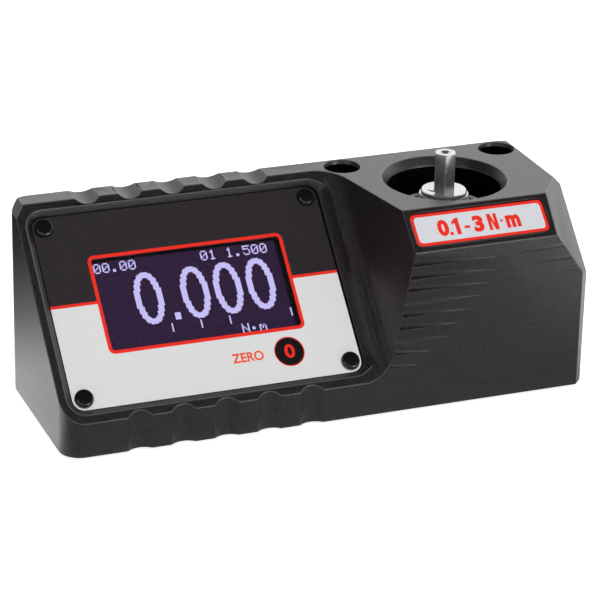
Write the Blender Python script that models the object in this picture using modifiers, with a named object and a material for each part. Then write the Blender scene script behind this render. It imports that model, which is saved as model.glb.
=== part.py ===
"""Bench torque wrench tester: milled body, sloped display panel and a male hexagon drive.

Metres, +Z up. The origin is the middle of the footprint, on the surface that the feet stand on.
+X runs to the right along the body and +Y runs from the front lip to the back.
"""
import math

import bmesh
import bpy
from mathutils import Matrix, Vector

# Body
BODY_LENGTH = 0.2600
BODY_DEPTH = 0.0900
BODY_HEIGHT = 0.0942
LIP_HEIGHT = 0.0167
RIDGE_DEPTH = 0.0111
CORNER_RADIUS = 0.0100
FRONT_CHAMFER = 0.0042
END_CHAMFER = 0.0048
BEYOND = 0.0300

# Block that carries the drive, to the right of the slope
BLOCK_LENGTH = 0.1025
CHEEK_DRAFT = math.radians(14.3)
BLEND_RADIUS = 0.0140
LABEL_FACE_DEPTH = 0.0168
LABEL_FACE_DROP = 0.0151
CORNER_CUT = 0.0176

# Shallow milling ledges across the front of the block, from the cheek and from the right end
LEDGE_TOP = 0.0723
LEDGE_PITCH = 0.0062
LEDGE_DEPTH = 0.0004
LEDGE_LAND = 0.0006
LEDGE_RUN_OUT = 0.0100
LEFT_LEDGES = 9
LEFT_LEDGE_END = 0.0550
LEFT_LEDGE_FADE = 0.00175
RIGHT_LEDGES = 3
RIGHT_LEDGE_END = 0.0425
RIGHT_LEDGE_FADE = 0.0090
LEDGE_FADE_POWER = 1.5

# Finger scallops in the lip and in the ridge
SCALLOP_COUNT = 5
SCALLOP_START = 0.0357
SCALLOP_END = 0.0382
SCALLOP_RADIUS = 0.0085
SCALLOP_DEPTH = 0.0022
RIDGE_SCALLOP_DEPTH = 0.0024
RIDGE_SCALLOP_LENGTH = 0.0136
RIDGE_SCALLOP_BACK_RADIUS = 0.0140
RIDGE_SCALLOP_BACK_DEPTH = 0.0012

# Clearances
SEAT_GAP = 0.0003
SIDE_GAP = 0.0003

# Display panel in its recess
PANEL_THICKNESS = 0.0020
PANEL_CORNER = 0.0055
PANEL_LEFT = 0.0069
PANEL_LOW = 0.0074
PANEL_RIGHT = 0.0098
PANEL_HIGH = 0.0070
PANEL_SINK = 0.0023
PANEL_GAP = 0.0004
RIGHT_GAP = 0.0012
RIM_WIDTH = 0.0047
RIM_RISE = 0.0037
PANEL_SCREW_INSET = 0.0055
PANEL_SCREW_HEAD = 0.0045
PANEL_SCREW_RISE = 0.0022
PANEL_SCREW_SHANK = 0.0019
PANEL_SCREW_LENGTH = 0.0085

# Display behind the panel
WINDOW_LEFT = 0.0240
WINDOW_LOW = 0.0267
WINDOW_RIGHT = 0.0242
WINDOW_HIGH = 0.0235
WINDOW_CORNER = 0.0015
LENS_FLANGE = 0.0025
LENS_BACK = 0.0010
MODULE_MARGIN_LONG = 0.0042
MODULE_MARGIN_WIDE = 0.0035
MODULE_DEPTH = 0.0070
BOARD_THICKNESS = 0.0016
BOARD_MARGIN_LONG = 0.0155
BOARD_MARGIN_WIDE = 0.0070
BOARD_ROOM = 0.0010
SPACER_RADIUS = 0.0026
SPACER_INSET = 0.0036
SMALL_SCREW_SHANK = 0.0011
SMALL_SCREW_HEAD = 0.0024
SMALL_SCREW_RISE = 0.0016
SMALL_SCREW_LENGTH = 0.0055

# Zero button, on the panel
BUTTON_FROM_RIGHT = 0.0335
BUTTON_Y = 0.0145
BUTTON_RADIUS = 0.0067
BUTTON_PROUD = 0.0005
BUTTON_TRAVEL = 0.0006
BUTTON_FLANGE = 0.0013
BUTTON_FLANGE_DEPTH = 0.0010
BUTTON_STEM = 0.0022
SWITCH_SIZE = 0.0100
SWITCH_HEIGHT = 0.0036
SWITCH_PLUNGER = 0.0017

# Range label
LABEL_WIDTH = 0.0164
LABEL_THICKNESS = 0.0008
LABEL_CORNER = 0.0024
LABEL_FROM_CHEEK = 0.0138
LABEL_RIGHT = 0.0213
LABEL_LOW = 0.0033
LABEL_RECESS = 0.0015
LABEL_GAP = 0.0005

# Transducer well and drive
DRIVE_X = 0.0551
DRIVE_Y = 0.0504
WELL_RADIUS = 0.0271
WELL_MOUTH = 0.0301
WELL_MOUTH_DEPTH = 0.0041
WELL_FLOOR = 0.0300
TRANSDUCER_FLANGE = 0.0252
TRANSDUCER_FLANGE_DEPTH = 0.0080
TRANSDUCER_RADIUS = 0.0216
TRANSDUCER_SINK = 0.0157
TRANSDUCER_LIP = 0.0007
LEAD_HOLE = 0.0060
FIXING_RING = 0.0140
FIXING_SHANK = 0.0025
FIXING_HEAD = 0.0042
FIXING_HEAD_DEPTH = 0.0050
FIXING_LENGTH = 0.0160
HEX_ACROSS_FLATS = 0.0095
HEX_RISE = 0.0129
HEX_TURN = math.radians(-21.7)
HEX_TIP_RADIUS = 0.0050
HEX_CENTRE_HOLE = 0.0024
HUB_RADIUS = 0.0110
HUB_EDGE = 0.0004
HUB_SINK = 0.0058
HUB_THICKNESS = 0.0016
SHANK_RADIUS = 0.0088
SHANK_LENGTH = 0.0300
RING_RADIUS = 0.0118
RING_THICKNESS = 0.0011
RING_OPENING = 0.0034
BEARING_RADIUS = 0.0122

# Bench bolt holes
BENCH_SPREAD = 0.0816
BENCH_BACK = 0.0100
BENCH_MOUTH = 0.0090
BENCH_MOUTH_DEPTH = 0.0017
BENCH_COUNTERBORE = 0.0082
BENCH_BORE = 0.0055
BENCH_SEAT = 0.0120

# Hollow underside
WALL_END = 0.0160
WALL_FRONT = 0.0070
WALL_BACK = 0.0060
WALL_SLOPE = 0.0080
WALL_RIDGE = 0.0100
WEB_BEFORE_CHEEK = 0.0185
WEB_AFTER_CHEEK = 0.0025
DISPLAY_ROOM = 0.0180
DRIVE_CHAMBER = 0.0240
CHAMBER_DEPTH = 0.0580
PASSAGE_FRONT = 0.0270
PASSAGE_WIDTH = 0.0160
PASSAGE_HEIGHT = 0.0140

# Base plate and feet
PLATE_THICKNESS = 0.0030
PLATE_INSET = 0.0040
PLATE_CORNER = 0.0060
PLATE_STEP_BEFORE_CHEEK = 0.0095
PLATE_BLOCK_DEPTH = 0.0660
PLATE_SCREW_EDGE = 0.0042
PLATE_SCREW_BEFORE_CHEEK = 0.0045
PLATE_SCREW_HEAD = 0.0028
PLATE_SCREW_SHANK = 0.0014
PLATE_SCREW_LENGTH = 0.0090
PLATE_SCREW_SIDE = 0.0100
FOOT_PROUD = 0.0015
FOOT_RADIUS = 0.0070
FOOT_STEM = 0.0024
FOOT_INSET = 0.0220
FOOT_SIDE = 0.0110

# Main board with its sockets
MAIN_BOARD_WIDTH = 0.0520
MAIN_BOARD_LEFT = 0.0260
MAIN_BOARD_ROOM = 0.0050
STANDOFF_HEIGHT = 0.0050
STANDOFF_RADIUS = 0.0027
STANDOFF_INSET = 0.0045
SOCKET_SINK = 0.0008
POWER_SOCKET_LEFT = 0.0140
POWER_SOCKET_WIDTH = 0.0100
POWER_SOCKET_HEIGHT = 0.0110
POWER_SOCKET_LENGTH = 0.0140
POWER_BARREL = 0.0032
POWER_PIN = 0.0010
BARREL_DEPTH = 0.0090
DATA_SOCKET_LEFT = 0.0360
DATA_SOCKET_WIDTH = 0.0120
DATA_SOCKET_HEIGHT = 0.0110
DATA_SOCKET_LENGTH = 0.0160
DATA_SHELL = 0.0012
DATA_TONGUE = 0.0026

# Power rocker in the back wall
ROCKER_BEFORE_WEB = 0.0490
ROCKER_HEIGHT_ABOVE_BASE = 0.0420
ROCKER_POCKET = 0.0030
ROCKER_FLANGE = 0.0018
ROCKER_FLANGE_WIDTH = 0.0160
ROCKER_FLANGE_HEIGHT = 0.0220
ROCKER_BODY_WIDTH = 0.0128
ROCKER_BODY_HEIGHT = 0.0188
ROCKER_BODY_DEPTH = 0.0130
ROCKER_WALL = 0.0014
ROCKER_HOLLOW = 0.0086
ROCKER_PIVOT = 0.0046
ROCKER_PIN = 0.0010
ROCKER_HALF = 0.0072
ROCKER_FACE = 0.0035
ROCKER_VALLEY = 0.0024
ROCKER_REAR = 0.0040
ROCKER_TILT = math.radians(8.0)

# Facets of round work
FINE = 72
MEDIUM = 48
COARSE = 24

# Places worked out from the sizes above
LEFT = -BODY_LENGTH / 2
RIGHT = BODY_LENGTH / 2
FRONT = -BODY_DEPTH / 2
BACK = BODY_DEPTH / 2
UNDERSIDE = FOOT_PROUD
TOP = UNDERSIDE + BODY_HEIGHT
LIP_TOP = UNDERSIDE + LIP_HEIGHT
SLOPE_ANGLE = math.atan2(BODY_HEIGHT - LIP_HEIGHT, BODY_DEPTH - RIDGE_DEPTH)
SLOPE_LENGTH = math.hypot(BODY_HEIGHT - LIP_HEIGHT, BODY_DEPTH - RIDGE_DEPTH)
LABEL_ANGLE = math.atan2(LABEL_FACE_DROP, LABEL_FACE_DEPTH)
LABEL_FACE_LENGTH = math.hypot(LABEL_FACE_DROP, LABEL_FACE_DEPTH)
CHEEK_FOOT = BODY_LENGTH - BLOCK_LENGTH
SCALLOP_PITCH = (CHEEK_FOOT - SCALLOP_START - SCALLOP_END) / (SCALLOP_COUNT - 1)
PANEL_LENGTH = CHEEK_FOOT - PANEL_LEFT - PANEL_RIGHT
PANEL_WIDTH = SLOPE_LENGTH - PANEL_LOW - PANEL_HIGH
PANEL_TOP = -PANEL_SINK
PANEL_BACK = PANEL_TOP - PANEL_THICKNESS
RECESS_FLOOR = PANEL_BACK - SEAT_GAP
LENS_REAR = RECESS_FLOOR - LENS_BACK
MODULE_FRONT = LENS_REAR - SEAT_GAP
MODULE_REAR = MODULE_FRONT - MODULE_DEPTH
BOARD_FRONT = MODULE_REAR - SEAT_GAP
BOARD_REAR = BOARD_FRONT - BOARD_THICKNESS
BOARD_LEFT = PANEL_LEFT + BOARD_MARGIN_LONG
BOARD_LOW = PANEL_LOW + BOARD_MARGIN_WIDE
BOARD_LENGTH = PANEL_LENGTH - 2 * BOARD_MARGIN_LONG
BOARD_WIDTH = PANEL_WIDTH - 2 * BOARD_MARGIN_WIDE
WINDOW_X = PANEL_LEFT + WINDOW_LEFT
WINDOW_Y = PANEL_LOW + WINDOW_LOW
WINDOW_LENGTH = PANEL_LENGTH - WINDOW_LEFT - WINDOW_RIGHT
WINDOW_WIDTH = PANEL_WIDTH - WINDOW_LOW - WINDOW_HIGH
BUTTON_SPOT = (PANEL_LEFT + PANEL_LENGTH - BUTTON_FROM_RIGHT, PANEL_LOW + BUTTON_Y, 0)
LABEL_LEFT = CHEEK_FOOT + LABEL_FROM_CHEEK
LABEL_LENGTH = BLOCK_LENGTH - LABEL_FROM_CHEEK - LABEL_RIGHT
WELL_BASE = UNDERSIDE + WELL_FLOOR
WELL_SPREAD = (WELL_MOUTH - WELL_RADIUS) / WELL_MOUTH_DEPTH
BENCH_SPREAD_RATE = (BENCH_MOUTH - BENCH_COUNTERBORE) / BENCH_MOUTH_DEPTH
TRANSDUCER_BASE = WELL_BASE + SEAT_GAP
TRANSDUCER_CROWN = TOP - TRANSDUCER_SINK
HUB_TOP = TOP - HUB_SINK
HUB_BASE = HUB_TOP - HUB_THICKNESS
RING_BASE = HUB_BASE - SEAT_GAP - RING_THICKNESS
BEARING_TOP = RING_BASE - SEAT_GAP
BEARING_BASE = TRANSDUCER_CROWN + SEAT_GAP
DRIVE_CENTRE = (RIGHT - DRIVE_X, FRONT + DRIVE_Y)
PLATE_TOP = UNDERSIDE + PLATE_THICKNESS
PLATE_SEAT = PLATE_TOP + SEAT_GAP
MAIN_BOARD_BASE = PLATE_TOP + 2 * SEAT_GAP + STANDOFF_HEIGHT
MAIN_BOARD_TOP = MAIN_BOARD_BASE + BOARD_THICKNESS
MAIN_BOARD_BACK = BACK - WALL_BACK - SIDE_GAP
MAIN_BOARD_FRONT = MAIN_BOARD_BACK - MAIN_BOARD_WIDTH
SOCKET_BASE = MAIN_BOARD_TOP + SEAT_GAP
WEB_LEFT = LEFT + CHEEK_FOOT - WEB_BEFORE_CHEEK
WEB_RIGHT = LEFT + CHEEK_FOOT + WEB_AFTER_CHEEK
MAIN_BOARD_LENGTH = WEB_LEFT - MAIN_BOARD_ROOM - LEFT - MAIN_BOARD_LEFT
ROCKER_AXIS = (WEB_LEFT - ROCKER_BEFORE_WEB, BACK - ROCKER_PIVOT, UNDERSIDE + ROCKER_HEIGHT_ABOVE_BASE)
ROCKER_SEAT = ROCKER_PIVOT - ROCKER_POCKET


def clear_scene():
    for old in list(bpy.data.objects):
        bpy.data.objects.remove(old, do_unlink=True)


def make_collection(name):
    collection = bpy.data.collections.new(name)
    bpy.context.scene.collection.children.link(collection)
    return collection


clear_scene()
PARTS = make_collection("torque_wrench_tester")
CUTTERS = make_collection("cutters")


def make_material(name, colour, roughness, metallic=0.0):
    material = bpy.data.materials.new(name)
    material.use_nodes = True
    shader = material.node_tree.nodes["Principled BSDF"]
    shader.inputs["Base Color"].default_value = (*colour, 1.0)
    shader.inputs["Roughness"].default_value = roughness
    shader.inputs["Metallic"].default_value = metallic
    material.diffuse_color = (*colour, 1.0)
    return material


ANODISED = make_material("anodised_black", (0.035, 0.032, 0.033), 0.45, 0.3)
PANEL_GREY = make_material("panel_grey", (0.60, 0.60, 0.61), 0.40)
LENS = make_material("display_lens", (0.05, 0.02, 0.09), 0.12)
LABEL_GREY = make_material("label_grey", (0.65, 0.66, 0.68), 0.40)
BLACK_SCREW = make_material("black_screw", (0.02, 0.02, 0.02), 0.30, 0.6)
BRIGHT_STEEL = make_material("bright_steel", (0.60, 0.59, 0.57), 0.22, 1.0)
PLAIN_STEEL = make_material("plain_steel", (0.45, 0.45, 0.46), 0.35, 1.0)
BLACK_PLASTIC = make_material("black_plastic", (0.015, 0.015, 0.016), 0.40)
RUBBER = make_material("rubber", (0.02, 0.02, 0.02), 0.85)
BOARD_GREEN = make_material("board_green", (0.02, 0.16, 0.07), 0.50)
BRASS = make_material("brass", (0.55, 0.42, 0.18), 0.35, 1.0)


def place(shape, name, material=None, parent=None, location=(0, 0, 0), rotation=(0, 0, 0)):
    """A part when it has a material, and otherwise a cutter."""
    item = bpy.data.objects.new(name, shape)
    item.location = location
    item.rotation_euler = rotation
    if parent is not None:
        item.parent = parent
    if material is not None:
        shape.materials.append(material)
        PARTS.objects.link(item)
        shape.set_sharp_from_angle(angle=math.radians(35))
    else:
        CUTTERS.objects.link(item)
        item.hide_render = True
        item.display_type = "WIRE"
    return item


def guide(name, location, rotation=(0, 0, 0)):
    frame = bpy.data.objects.new(name, None)
    frame.location = location
    frame.rotation_euler = rotation
    CUTTERS.objects.link(frame)
    return frame


def finish(work, name):
    """Closes a bmesh into a mesh, with its faces pointing out."""
    bmesh.ops.recalc_face_normals(work, faces=work.faces)
    shape = bpy.data.meshes.new(name)
    work.to_mesh(shape)
    work.free()
    shape.shade_smooth()
    return shape


def box(name, size, low=(0, 0, 0)):
    """A box with its lowest corner at low."""
    work = bmesh.new()
    bmesh.ops.create_cube(work, size=1.0)
    middle = [low[axis] + size[axis] / 2 for axis in range(3)]
    bmesh.ops.scale(work, vec=size, verts=work.verts)
    bmesh.ops.translate(work, vec=middle, verts=work.verts)
    return finish(work, name)


def cylinder(name, radius, low, high, facets=MEDIUM, end_radius=None):
    """A cylinder or cone along Z, from low to high."""
    work = bmesh.new()
    top_radius = radius if end_radius is None else end_radius
    bmesh.ops.create_cone(work, cap_ends=True, segments=facets, radius1=radius, radius2=top_radius,
                          depth=high - low)
    bmesh.ops.translate(work, vec=(0, 0, (low + high) / 2), verts=work.verts)
    return finish(work, name)


def rounded(corners, radii, steps=8):
    """An outline with each corner rounded by its own radius; a radius of 0 leaves it sharp."""
    points = []
    count = len(corners)
    for index, corner in enumerate(corners):
        here = Vector(corner)
        radius = radii[index]
        if radius <= 0:
            points.append(here)
            continue
        back = (Vector(corners[index - 1]) - here).normalized()
        ahead = (Vector(corners[(index + 1) % count]) - here).normalized()
        half = back.angle(ahead) / 2
        centre = here + (back + ahead).normalized() * (radius / math.sin(half))
        start = here + back * (radius / math.tan(half)) - centre
        end = here + ahead * (radius / math.tan(half)) - centre
        sweep = start.angle_signed(end)
        for step in range(steps + 1):
            points.append(centre + Matrix.Rotation(-sweep * step / steps, 2) @ start)
    return points


def rectangle(left, low, length, width, radius=0.0, steps=6):
    corners = [(left, low), (left + length, low), (left + length, low + width), (left, low + width)]
    return rounded(corners, [radius] * 4, steps)


def circle(radius, facets):
    return [Vector((radius, 0)) @ Matrix.Rotation(math.tau * step / facets, 2) for step in range(facets)]


def extruded(name, outline, low, high, axis="Z"):
    """A flat outline pushed along an axis: X takes it as (y, z), Y as (x, z) and Z as (x, y)."""
    work = bmesh.new()
    spots = {
        "X": lambda point: (low, point[0], point[1]),
        "Y": lambda point: (point[0], low, point[1]),
        "Z": lambda point: (point[0], point[1], low),
    }
    push = {"X": (high - low, 0, 0), "Y": (0, high - low, 0), "Z": (0, 0, high - low)}
    face = work.faces.new([work.verts.new(spots[axis](point)) for point in outline])
    grown = bmesh.ops.extrude_face_region(work, geom=[face])
    moved = [item for item in grown["geom"] if isinstance(item, bmesh.types.BMVert)]
    bmesh.ops.translate(work, vec=push[axis], verts=moved)
    return finish(work, name)


def lofted(name, rings):
    """A solid through outlines of the same number of points; each ring is (outline, height)."""
    work = bmesh.new()
    loops = []
    for outline, height in rings:
        loops.append([work.verts.new((point[0], point[1], height)) for point in outline])
    count = len(loops[0])
    for lower, upper in zip(loops, loops[1:]):
        for index in range(count):
            after = (index + 1) % count
            work.faces.new((lower[index], lower[after], upper[after], upper[index]))
    work.faces.new(loops[0])
    work.faces.new(loops[-1])
    return finish(work, name)


def turned(name, profile, material=None, parent=None, location=(0, 0, 0), facets=MEDIUM, closed=False):
    """A profile of (radius, height) points, outer side from top to bottom, turned about Z."""
    work = bmesh.new()
    points = [work.verts.new((radius, 0, height)) for radius, height in profile]
    for first, second in zip(points, points[1:]):
        work.edges.new((first, second))
    if closed:
        work.edges.new((points[-1], points[0]))
    shape = bpy.data.meshes.new(name)
    work.to_mesh(shape)
    work.free()
    item = place(shape, name, material, parent, location)
    screw = item.modifiers.new("turn", "SCREW")
    screw.axis = "Z"
    screw.angle = math.tau
    screw.steps = facets
    screw.render_steps = facets
    screw.use_merge_vertices = True
    screw.merge_threshold = 0.00001
    return item


def cut(target, cutter):
    boolean = target.modifiers.new(cutter.name, "BOOLEAN")
    boolean.operation = "DIFFERENCE"
    boolean.solver = "EXACT"
    boolean.object = cutter


def join(target, addition):
    boolean = target.modifiers.new(addition.name, "BOOLEAN")
    boolean.operation = "UNION"
    boolean.solver = "EXACT"
    boolean.object = addition


slope_frame = guide("slope_frame", (LEFT, FRONT, LIP_TOP), (SLOPE_ANGLE, 0, 0))
label_frame = guide("label_frame", (LEFT, FRONT, TOP - LABEL_FACE_DROP), (LABEL_ANGLE, 0, 0))
drive_frame = guide("drive_frame", (*DRIVE_CENTRE, 0))


def recess_rings():
    """The panel recess: straight pocket, then a rim that opens wider, then clear air."""
    rings = []
    rim = -PANEL_SINK + PANEL_GAP / 2
    for grow, height in ((0, RECESS_FLOOR), (0, rim), (RIM_WIDTH, rim + RIM_RISE), (RIM_WIDTH, BEYOND)):
        outline = rectangle(PANEL_LEFT - PANEL_GAP - grow, PANEL_LOW - PANEL_GAP - grow,
                            PANEL_LENGTH + PANEL_GAP + RIGHT_GAP + 2 * grow,
                            PANEL_WIDTH + 2 * PANEL_GAP + 2 * grow,
                            PANEL_CORNER + PANEL_GAP + grow)
        rings.append((outline, height))
    return rings


def panel_screw_spots():
    for x in (PANEL_LEFT + PANEL_SCREW_INSET, PANEL_LEFT + PANEL_LENGTH - PANEL_SCREW_INSET):
        for y in (PANEL_LOW + PANEL_SCREW_INSET, PANEL_LOW + PANEL_WIDTH - PANEL_SCREW_INSET):
            yield x, y


def spacer_spots():
    for x in (BOARD_LEFT + SPACER_INSET, BOARD_LEFT + BOARD_LENGTH - SPACER_INSET):
        for y in (BOARD_LOW + SPACER_INSET, BOARD_LOW + BOARD_WIDTH - SPACER_INSET):
            yield x, y


def fixing_spots():
    for quarter in range(4):
        angle = math.radians(45 + 90 * quarter)
        yield FIXING_RING * math.cos(angle), FIXING_RING * math.sin(angle)


def plate_screw_spots():
    end = PLATE_INSET + PLATE_SCREW_EDGE
    web = LEFT + CHEEK_FOOT - PLATE_SCREW_BEFORE_CHEEK
    side = FRONT + PLATE_INSET + PLATE_SCREW_SIDE
    yield LEFT + end, side
    yield LEFT + end, BACK - PLATE_INSET - PLATE_SCREW_SIDE
    yield web, side
    yield web, FRONT + PLATE_INSET + PLATE_BLOCK_DEPTH - PLATE_SCREW_SIDE
    yield RIGHT - end, side
    yield RIGHT - end, FRONT + PLATE_INSET + PLATE_BLOCK_DEPTH - PLATE_SCREW_SIDE


def foot_spots():
    side = PLATE_INSET + FOOT_SIDE
    yield LEFT + FOOT_INSET, FRONT + side
    yield LEFT + FOOT_INSET, BACK - side
    yield RIGHT - FOOT_INSET, FRONT + side
    yield RIGHT - FOOT_INSET, FRONT + PLATE_INSET + PLATE_BLOCK_DEPTH - FOOT_SIDE


def standoff_spots():
    left = LEFT + MAIN_BOARD_LEFT
    for x in (left + STANDOFF_INSET, left + MAIN_BOARD_LENGTH - STANDOFF_INSET):
        for y in (MAIN_BOARD_FRONT + STANDOFF_INSET, MAIN_BOARD_BACK - STANDOFF_INSET):
            yield x, y


def bench_spots():
    for side in (-1, 1):
        yield DRIVE_CENTRE[0] + side * BENCH_SPREAD / 2, BACK - BENCH_BACK


def plate_outline(grow):
    """The L of the base plate: full depth under the slope, shorter under the bench bolts."""
    left = LEFT + PLATE_INSET - grow
    right = RIGHT - PLATE_INSET + grow
    front = FRONT + PLATE_INSET - grow
    back = BACK - PLATE_INSET + grow
    block_back = FRONT + PLATE_INSET + PLATE_BLOCK_DEPTH + grow
    step = LEFT + CHEEK_FOOT - PLATE_STEP_BEFORE_CHEEK + grow
    corners = [(left, front), (right, front), (right, block_back), (step, block_back), (step, back),
               (left, back)]
    inner = PLATE_CORNER - grow
    outer = PLATE_CORNER + grow
    return rounded(corners, [outer, outer, outer, inner, outer, outer])


def rocker_outline(grow):
    return rectangle(-ROCKER_FLANGE_WIDTH / 2 - grow, -ROCKER_FLANGE_HEIGHT / 2 - grow,
                     ROCKER_FLANGE_WIDTH + 2 * grow, ROCKER_FLANGE_HEIGHT + 2 * grow, ROCKER_WALL)


def body_blank():
    corners = [(LEFT, FRONT), (RIGHT - FRONT_CHAMFER, FRONT), (RIGHT, FRONT + FRONT_CHAMFER),
               (RIGHT, BACK), (LEFT, BACK)]
    radii = [CORNER_RADIUS, 0, 0, CORNER_RADIUS, CORNER_RADIUS]
    return extruded("housing", rounded(corners, radii, 10), UNDERSIDE, TOP)


def cut_slope(housing):
    """The slope, the drafted cheek of the block and the large blend between them."""
    height = BODY_LENGTH
    corners = [(-BEYOND, 0), (CHEEK_FOOT, 0), (CHEEK_FOOT + height * math.tan(CHEEK_DRAFT), height),
               (-BEYOND, height)]
    section = rounded(corners, [0, BLEND_RADIUS, 0, 0], 14)
    shape = extruded("slope_cut", section, -BODY_HEIGHT, SLOPE_LENGTH + BODY_HEIGHT, "Y")
    cut(housing, place(shape, "slope_cut", parent=slope_frame))


def cut_block_faces(housing):
    """The label face, the chamfers of both ends and the large cut at the front right corner."""
    reach = LABEL_FACE_LENGTH + 2 * BEYOND
    shape = box("label_face_cut", (BODY_LENGTH + 2 * BEYOND, reach, BODY_HEIGHT), (-BEYOND, -BEYOND, 0))
    cut(housing, place(shape, "label_face_cut", parent=label_frame))
    for side, end in (("left", LEFT), ("right", RIGHT)):
        outward = -1 if side == "left" else 1
        beyond = end + outward * BEYOND
        inner = end - outward * (END_CHAMFER + BEYOND)
        outline = [(inner, TOP + BEYOND), (beyond, TOP + BEYOND), (beyond, TOP - END_CHAMFER - BEYOND)]
        shape = extruded("end_chamfer_" + side, outline, FRONT - BEYOND, BACK + BEYOND, "Y")
        cut(housing, place(shape, "end_chamfer_" + side))
    normal = Vector((1, 0, 0)) + Vector((0, -1, 1)).normalized()
    turn = normal.to_track_quat("Z", "Y").to_euler()
    size = BODY_DEPTH + BODY_HEIGHT
    shape = box("corner_cut", (size, size, size), (-size / 2, -size / 2, 0))
    corner = (RIGHT - CORNER_CUT, FRONT + LABEL_FACE_DEPTH, TOP)
    cut(housing, place(shape, "corner_cut", location=corner, rotation=turn))


def ledge_cutter(name, deep_end, shallow_end, level):
    """A wedge that leans the front face back above a level, and fades out towards its shallow end."""
    inside = FRONT + LEDGE_DEPTH
    high = level + LEDGE_PITCH - LEDGE_LAND
    corners = [(deep_end, inside, level), (shallow_end, FRONT, level), (deep_end, FRONT, high)]
    work = bmesh.new()
    face = work.faces.new([work.verts.new(corner) for corner in corners])
    grown = bmesh.ops.extrude_face_region(work, geom=[face])
    moved = [item for item in grown["geom"] if isinstance(item, bmesh.types.BMVert)]
    bmesh.ops.translate(work, vec=(0, -BEYOND, 0), verts=moved)
    return place(finish(work, name), name)


def cut_ledges(housing):
    for index in range(LEFT_LEDGES):
        height = LEDGE_TOP - index * LEDGE_PITCH
        cheek = CHEEK_FOOT + (height - LIP_HEIGHT) * math.cos(SLOPE_ANGLE) * math.tan(CHEEK_DRAFT)
        end = CHEEK_FOOT + LEFT_LEDGE_END - LEFT_LEDGE_FADE * index ** LEDGE_FADE_POWER
        cut(housing, ledge_cutter("left_ledge_%d" % index, LEFT + cheek - LEDGE_RUN_OUT, LEFT + end,
                                  UNDERSIDE + height))
    for index in range(RIGHT_LEDGES):
        height = LEDGE_TOP - index * LEDGE_PITCH
        end = RIGHT - RIGHT_LEDGE_END + RIGHT_LEDGE_FADE * index ** LEDGE_FADE_POWER
        cut(housing, ledge_cutter("right_ledge_%d" % index, RIGHT + LEDGE_RUN_OUT, end, UNDERSIDE + height))


def ridge_scallop_rings():
    """A tapering scallop: narrow and deep at the front of the ridge, wide and shallow at the back."""
    rings = []
    widen = (RIDGE_SCALLOP_BACK_RADIUS - SCALLOP_RADIUS) / RIDGE_SCALLOP_LENGTH
    sink = (RIDGE_SCALLOP_DEPTH - RIDGE_SCALLOP_BACK_DEPTH) / RIDGE_SCALLOP_LENGTH
    for forward in (-RIDGE_SCALLOP_LENGTH / 4, RIDGE_SCALLOP_LENGTH * 1.4):
        radius = RIDGE_SCALLOP_BACK_RADIUS - widen * forward
        lift = radius - RIDGE_SCALLOP_BACK_DEPTH - sink * forward
        rings.append(([point + Vector((0, lift)) for point in circle(radius, FINE)], forward))
    return rings


def cut_scallops(housing):
    """Finger scallops: upright in the lip, and lying from front to back in the ridge."""
    for index in range(SCALLOP_COUNT):
        x = LEFT + SCALLOP_START + index * SCALLOP_PITCH
        shape = cylinder("lip_scallop_%d" % index, SCALLOP_RADIUS, -BEYOND, LIP_HEIGHT + BEYOND)
        y = FRONT + SCALLOP_DEPTH - SCALLOP_RADIUS
        cut(housing, place(shape, "lip_scallop_%d" % index, location=(x, y, UNDERSIDE)))
        shape = lofted("ridge_scallop_%d" % index, ridge_scallop_rings())
        cut(housing, place(shape, "ridge_scallop_%d" % index, location=(x, BACK, TOP),
                           rotation=(math.pi / 2, 0, 0)))


def cut_panel_seat(housing):
    cut(housing, place(lofted("panel_recess", recess_rings()), "panel_recess", parent=slope_frame))
    opening = rectangle(BOARD_LEFT - BOARD_ROOM, BOARD_LOW - BOARD_ROOM,
                        BOARD_LENGTH + 2 * BOARD_ROOM, BOARD_WIDTH + 2 * BOARD_ROOM, 2 * BOARD_ROOM)
    shape = extruded("display_opening", opening, -DISPLAY_ROOM, PANEL_BACK)
    cut(housing, place(shape, "display_opening", parent=slope_frame))
    depth = PANEL_TOP - PANEL_SCREW_LENGTH - SEAT_GAP
    for index, spot in enumerate(panel_screw_spots()):
        shape = cylinder("panel_thread_%d" % index, PANEL_SCREW_SHANK + SIDE_GAP, depth, PANEL_BACK, COARSE)
        cut(housing, place(shape, "panel_thread_%d" % index, parent=slope_frame, location=(*spot, 0)))


def cut_label_seat(housing):
    outline = rectangle(LABEL_LEFT - LABEL_GAP, LABEL_LOW - LABEL_GAP, LABEL_LENGTH + 2 * LABEL_GAP,
                        LABEL_WIDTH + 2 * LABEL_GAP, LABEL_CORNER + LABEL_GAP)
    shape = extruded("label_recess", outline, -LABEL_RECESS, BEYOND)
    cut(housing, place(shape, "label_recess", parent=label_frame))


def cut_well(housing):
    wall = circle(WELL_RADIUS, FINE)
    mouth = circle(WELL_MOUTH + BEYOND * WELL_SPREAD, FINE)
    shape = lofted("well_cut", [(wall, WELL_BASE), (wall, TOP - WELL_MOUTH_DEPTH), (mouth, TOP + BEYOND)])
    cut(housing, place(shape, "well_cut", parent=drive_frame))
    shape = cylinder("lead_hole", LEAD_HOLE, 0, WELL_BASE + BEYOND, COARSE)
    cut(housing, place(shape, "lead_hole", parent=drive_frame))
    for index, spot in enumerate(fixing_spots()):
        shape = cylinder("fixing_hole_%d" % index, FIXING_SHANK + SIDE_GAP, 0, WELL_BASE + BEYOND, COARSE)
        cut(housing, place(shape, "fixing_hole_%d" % index, parent=drive_frame, location=(*spot, 0)))


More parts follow.
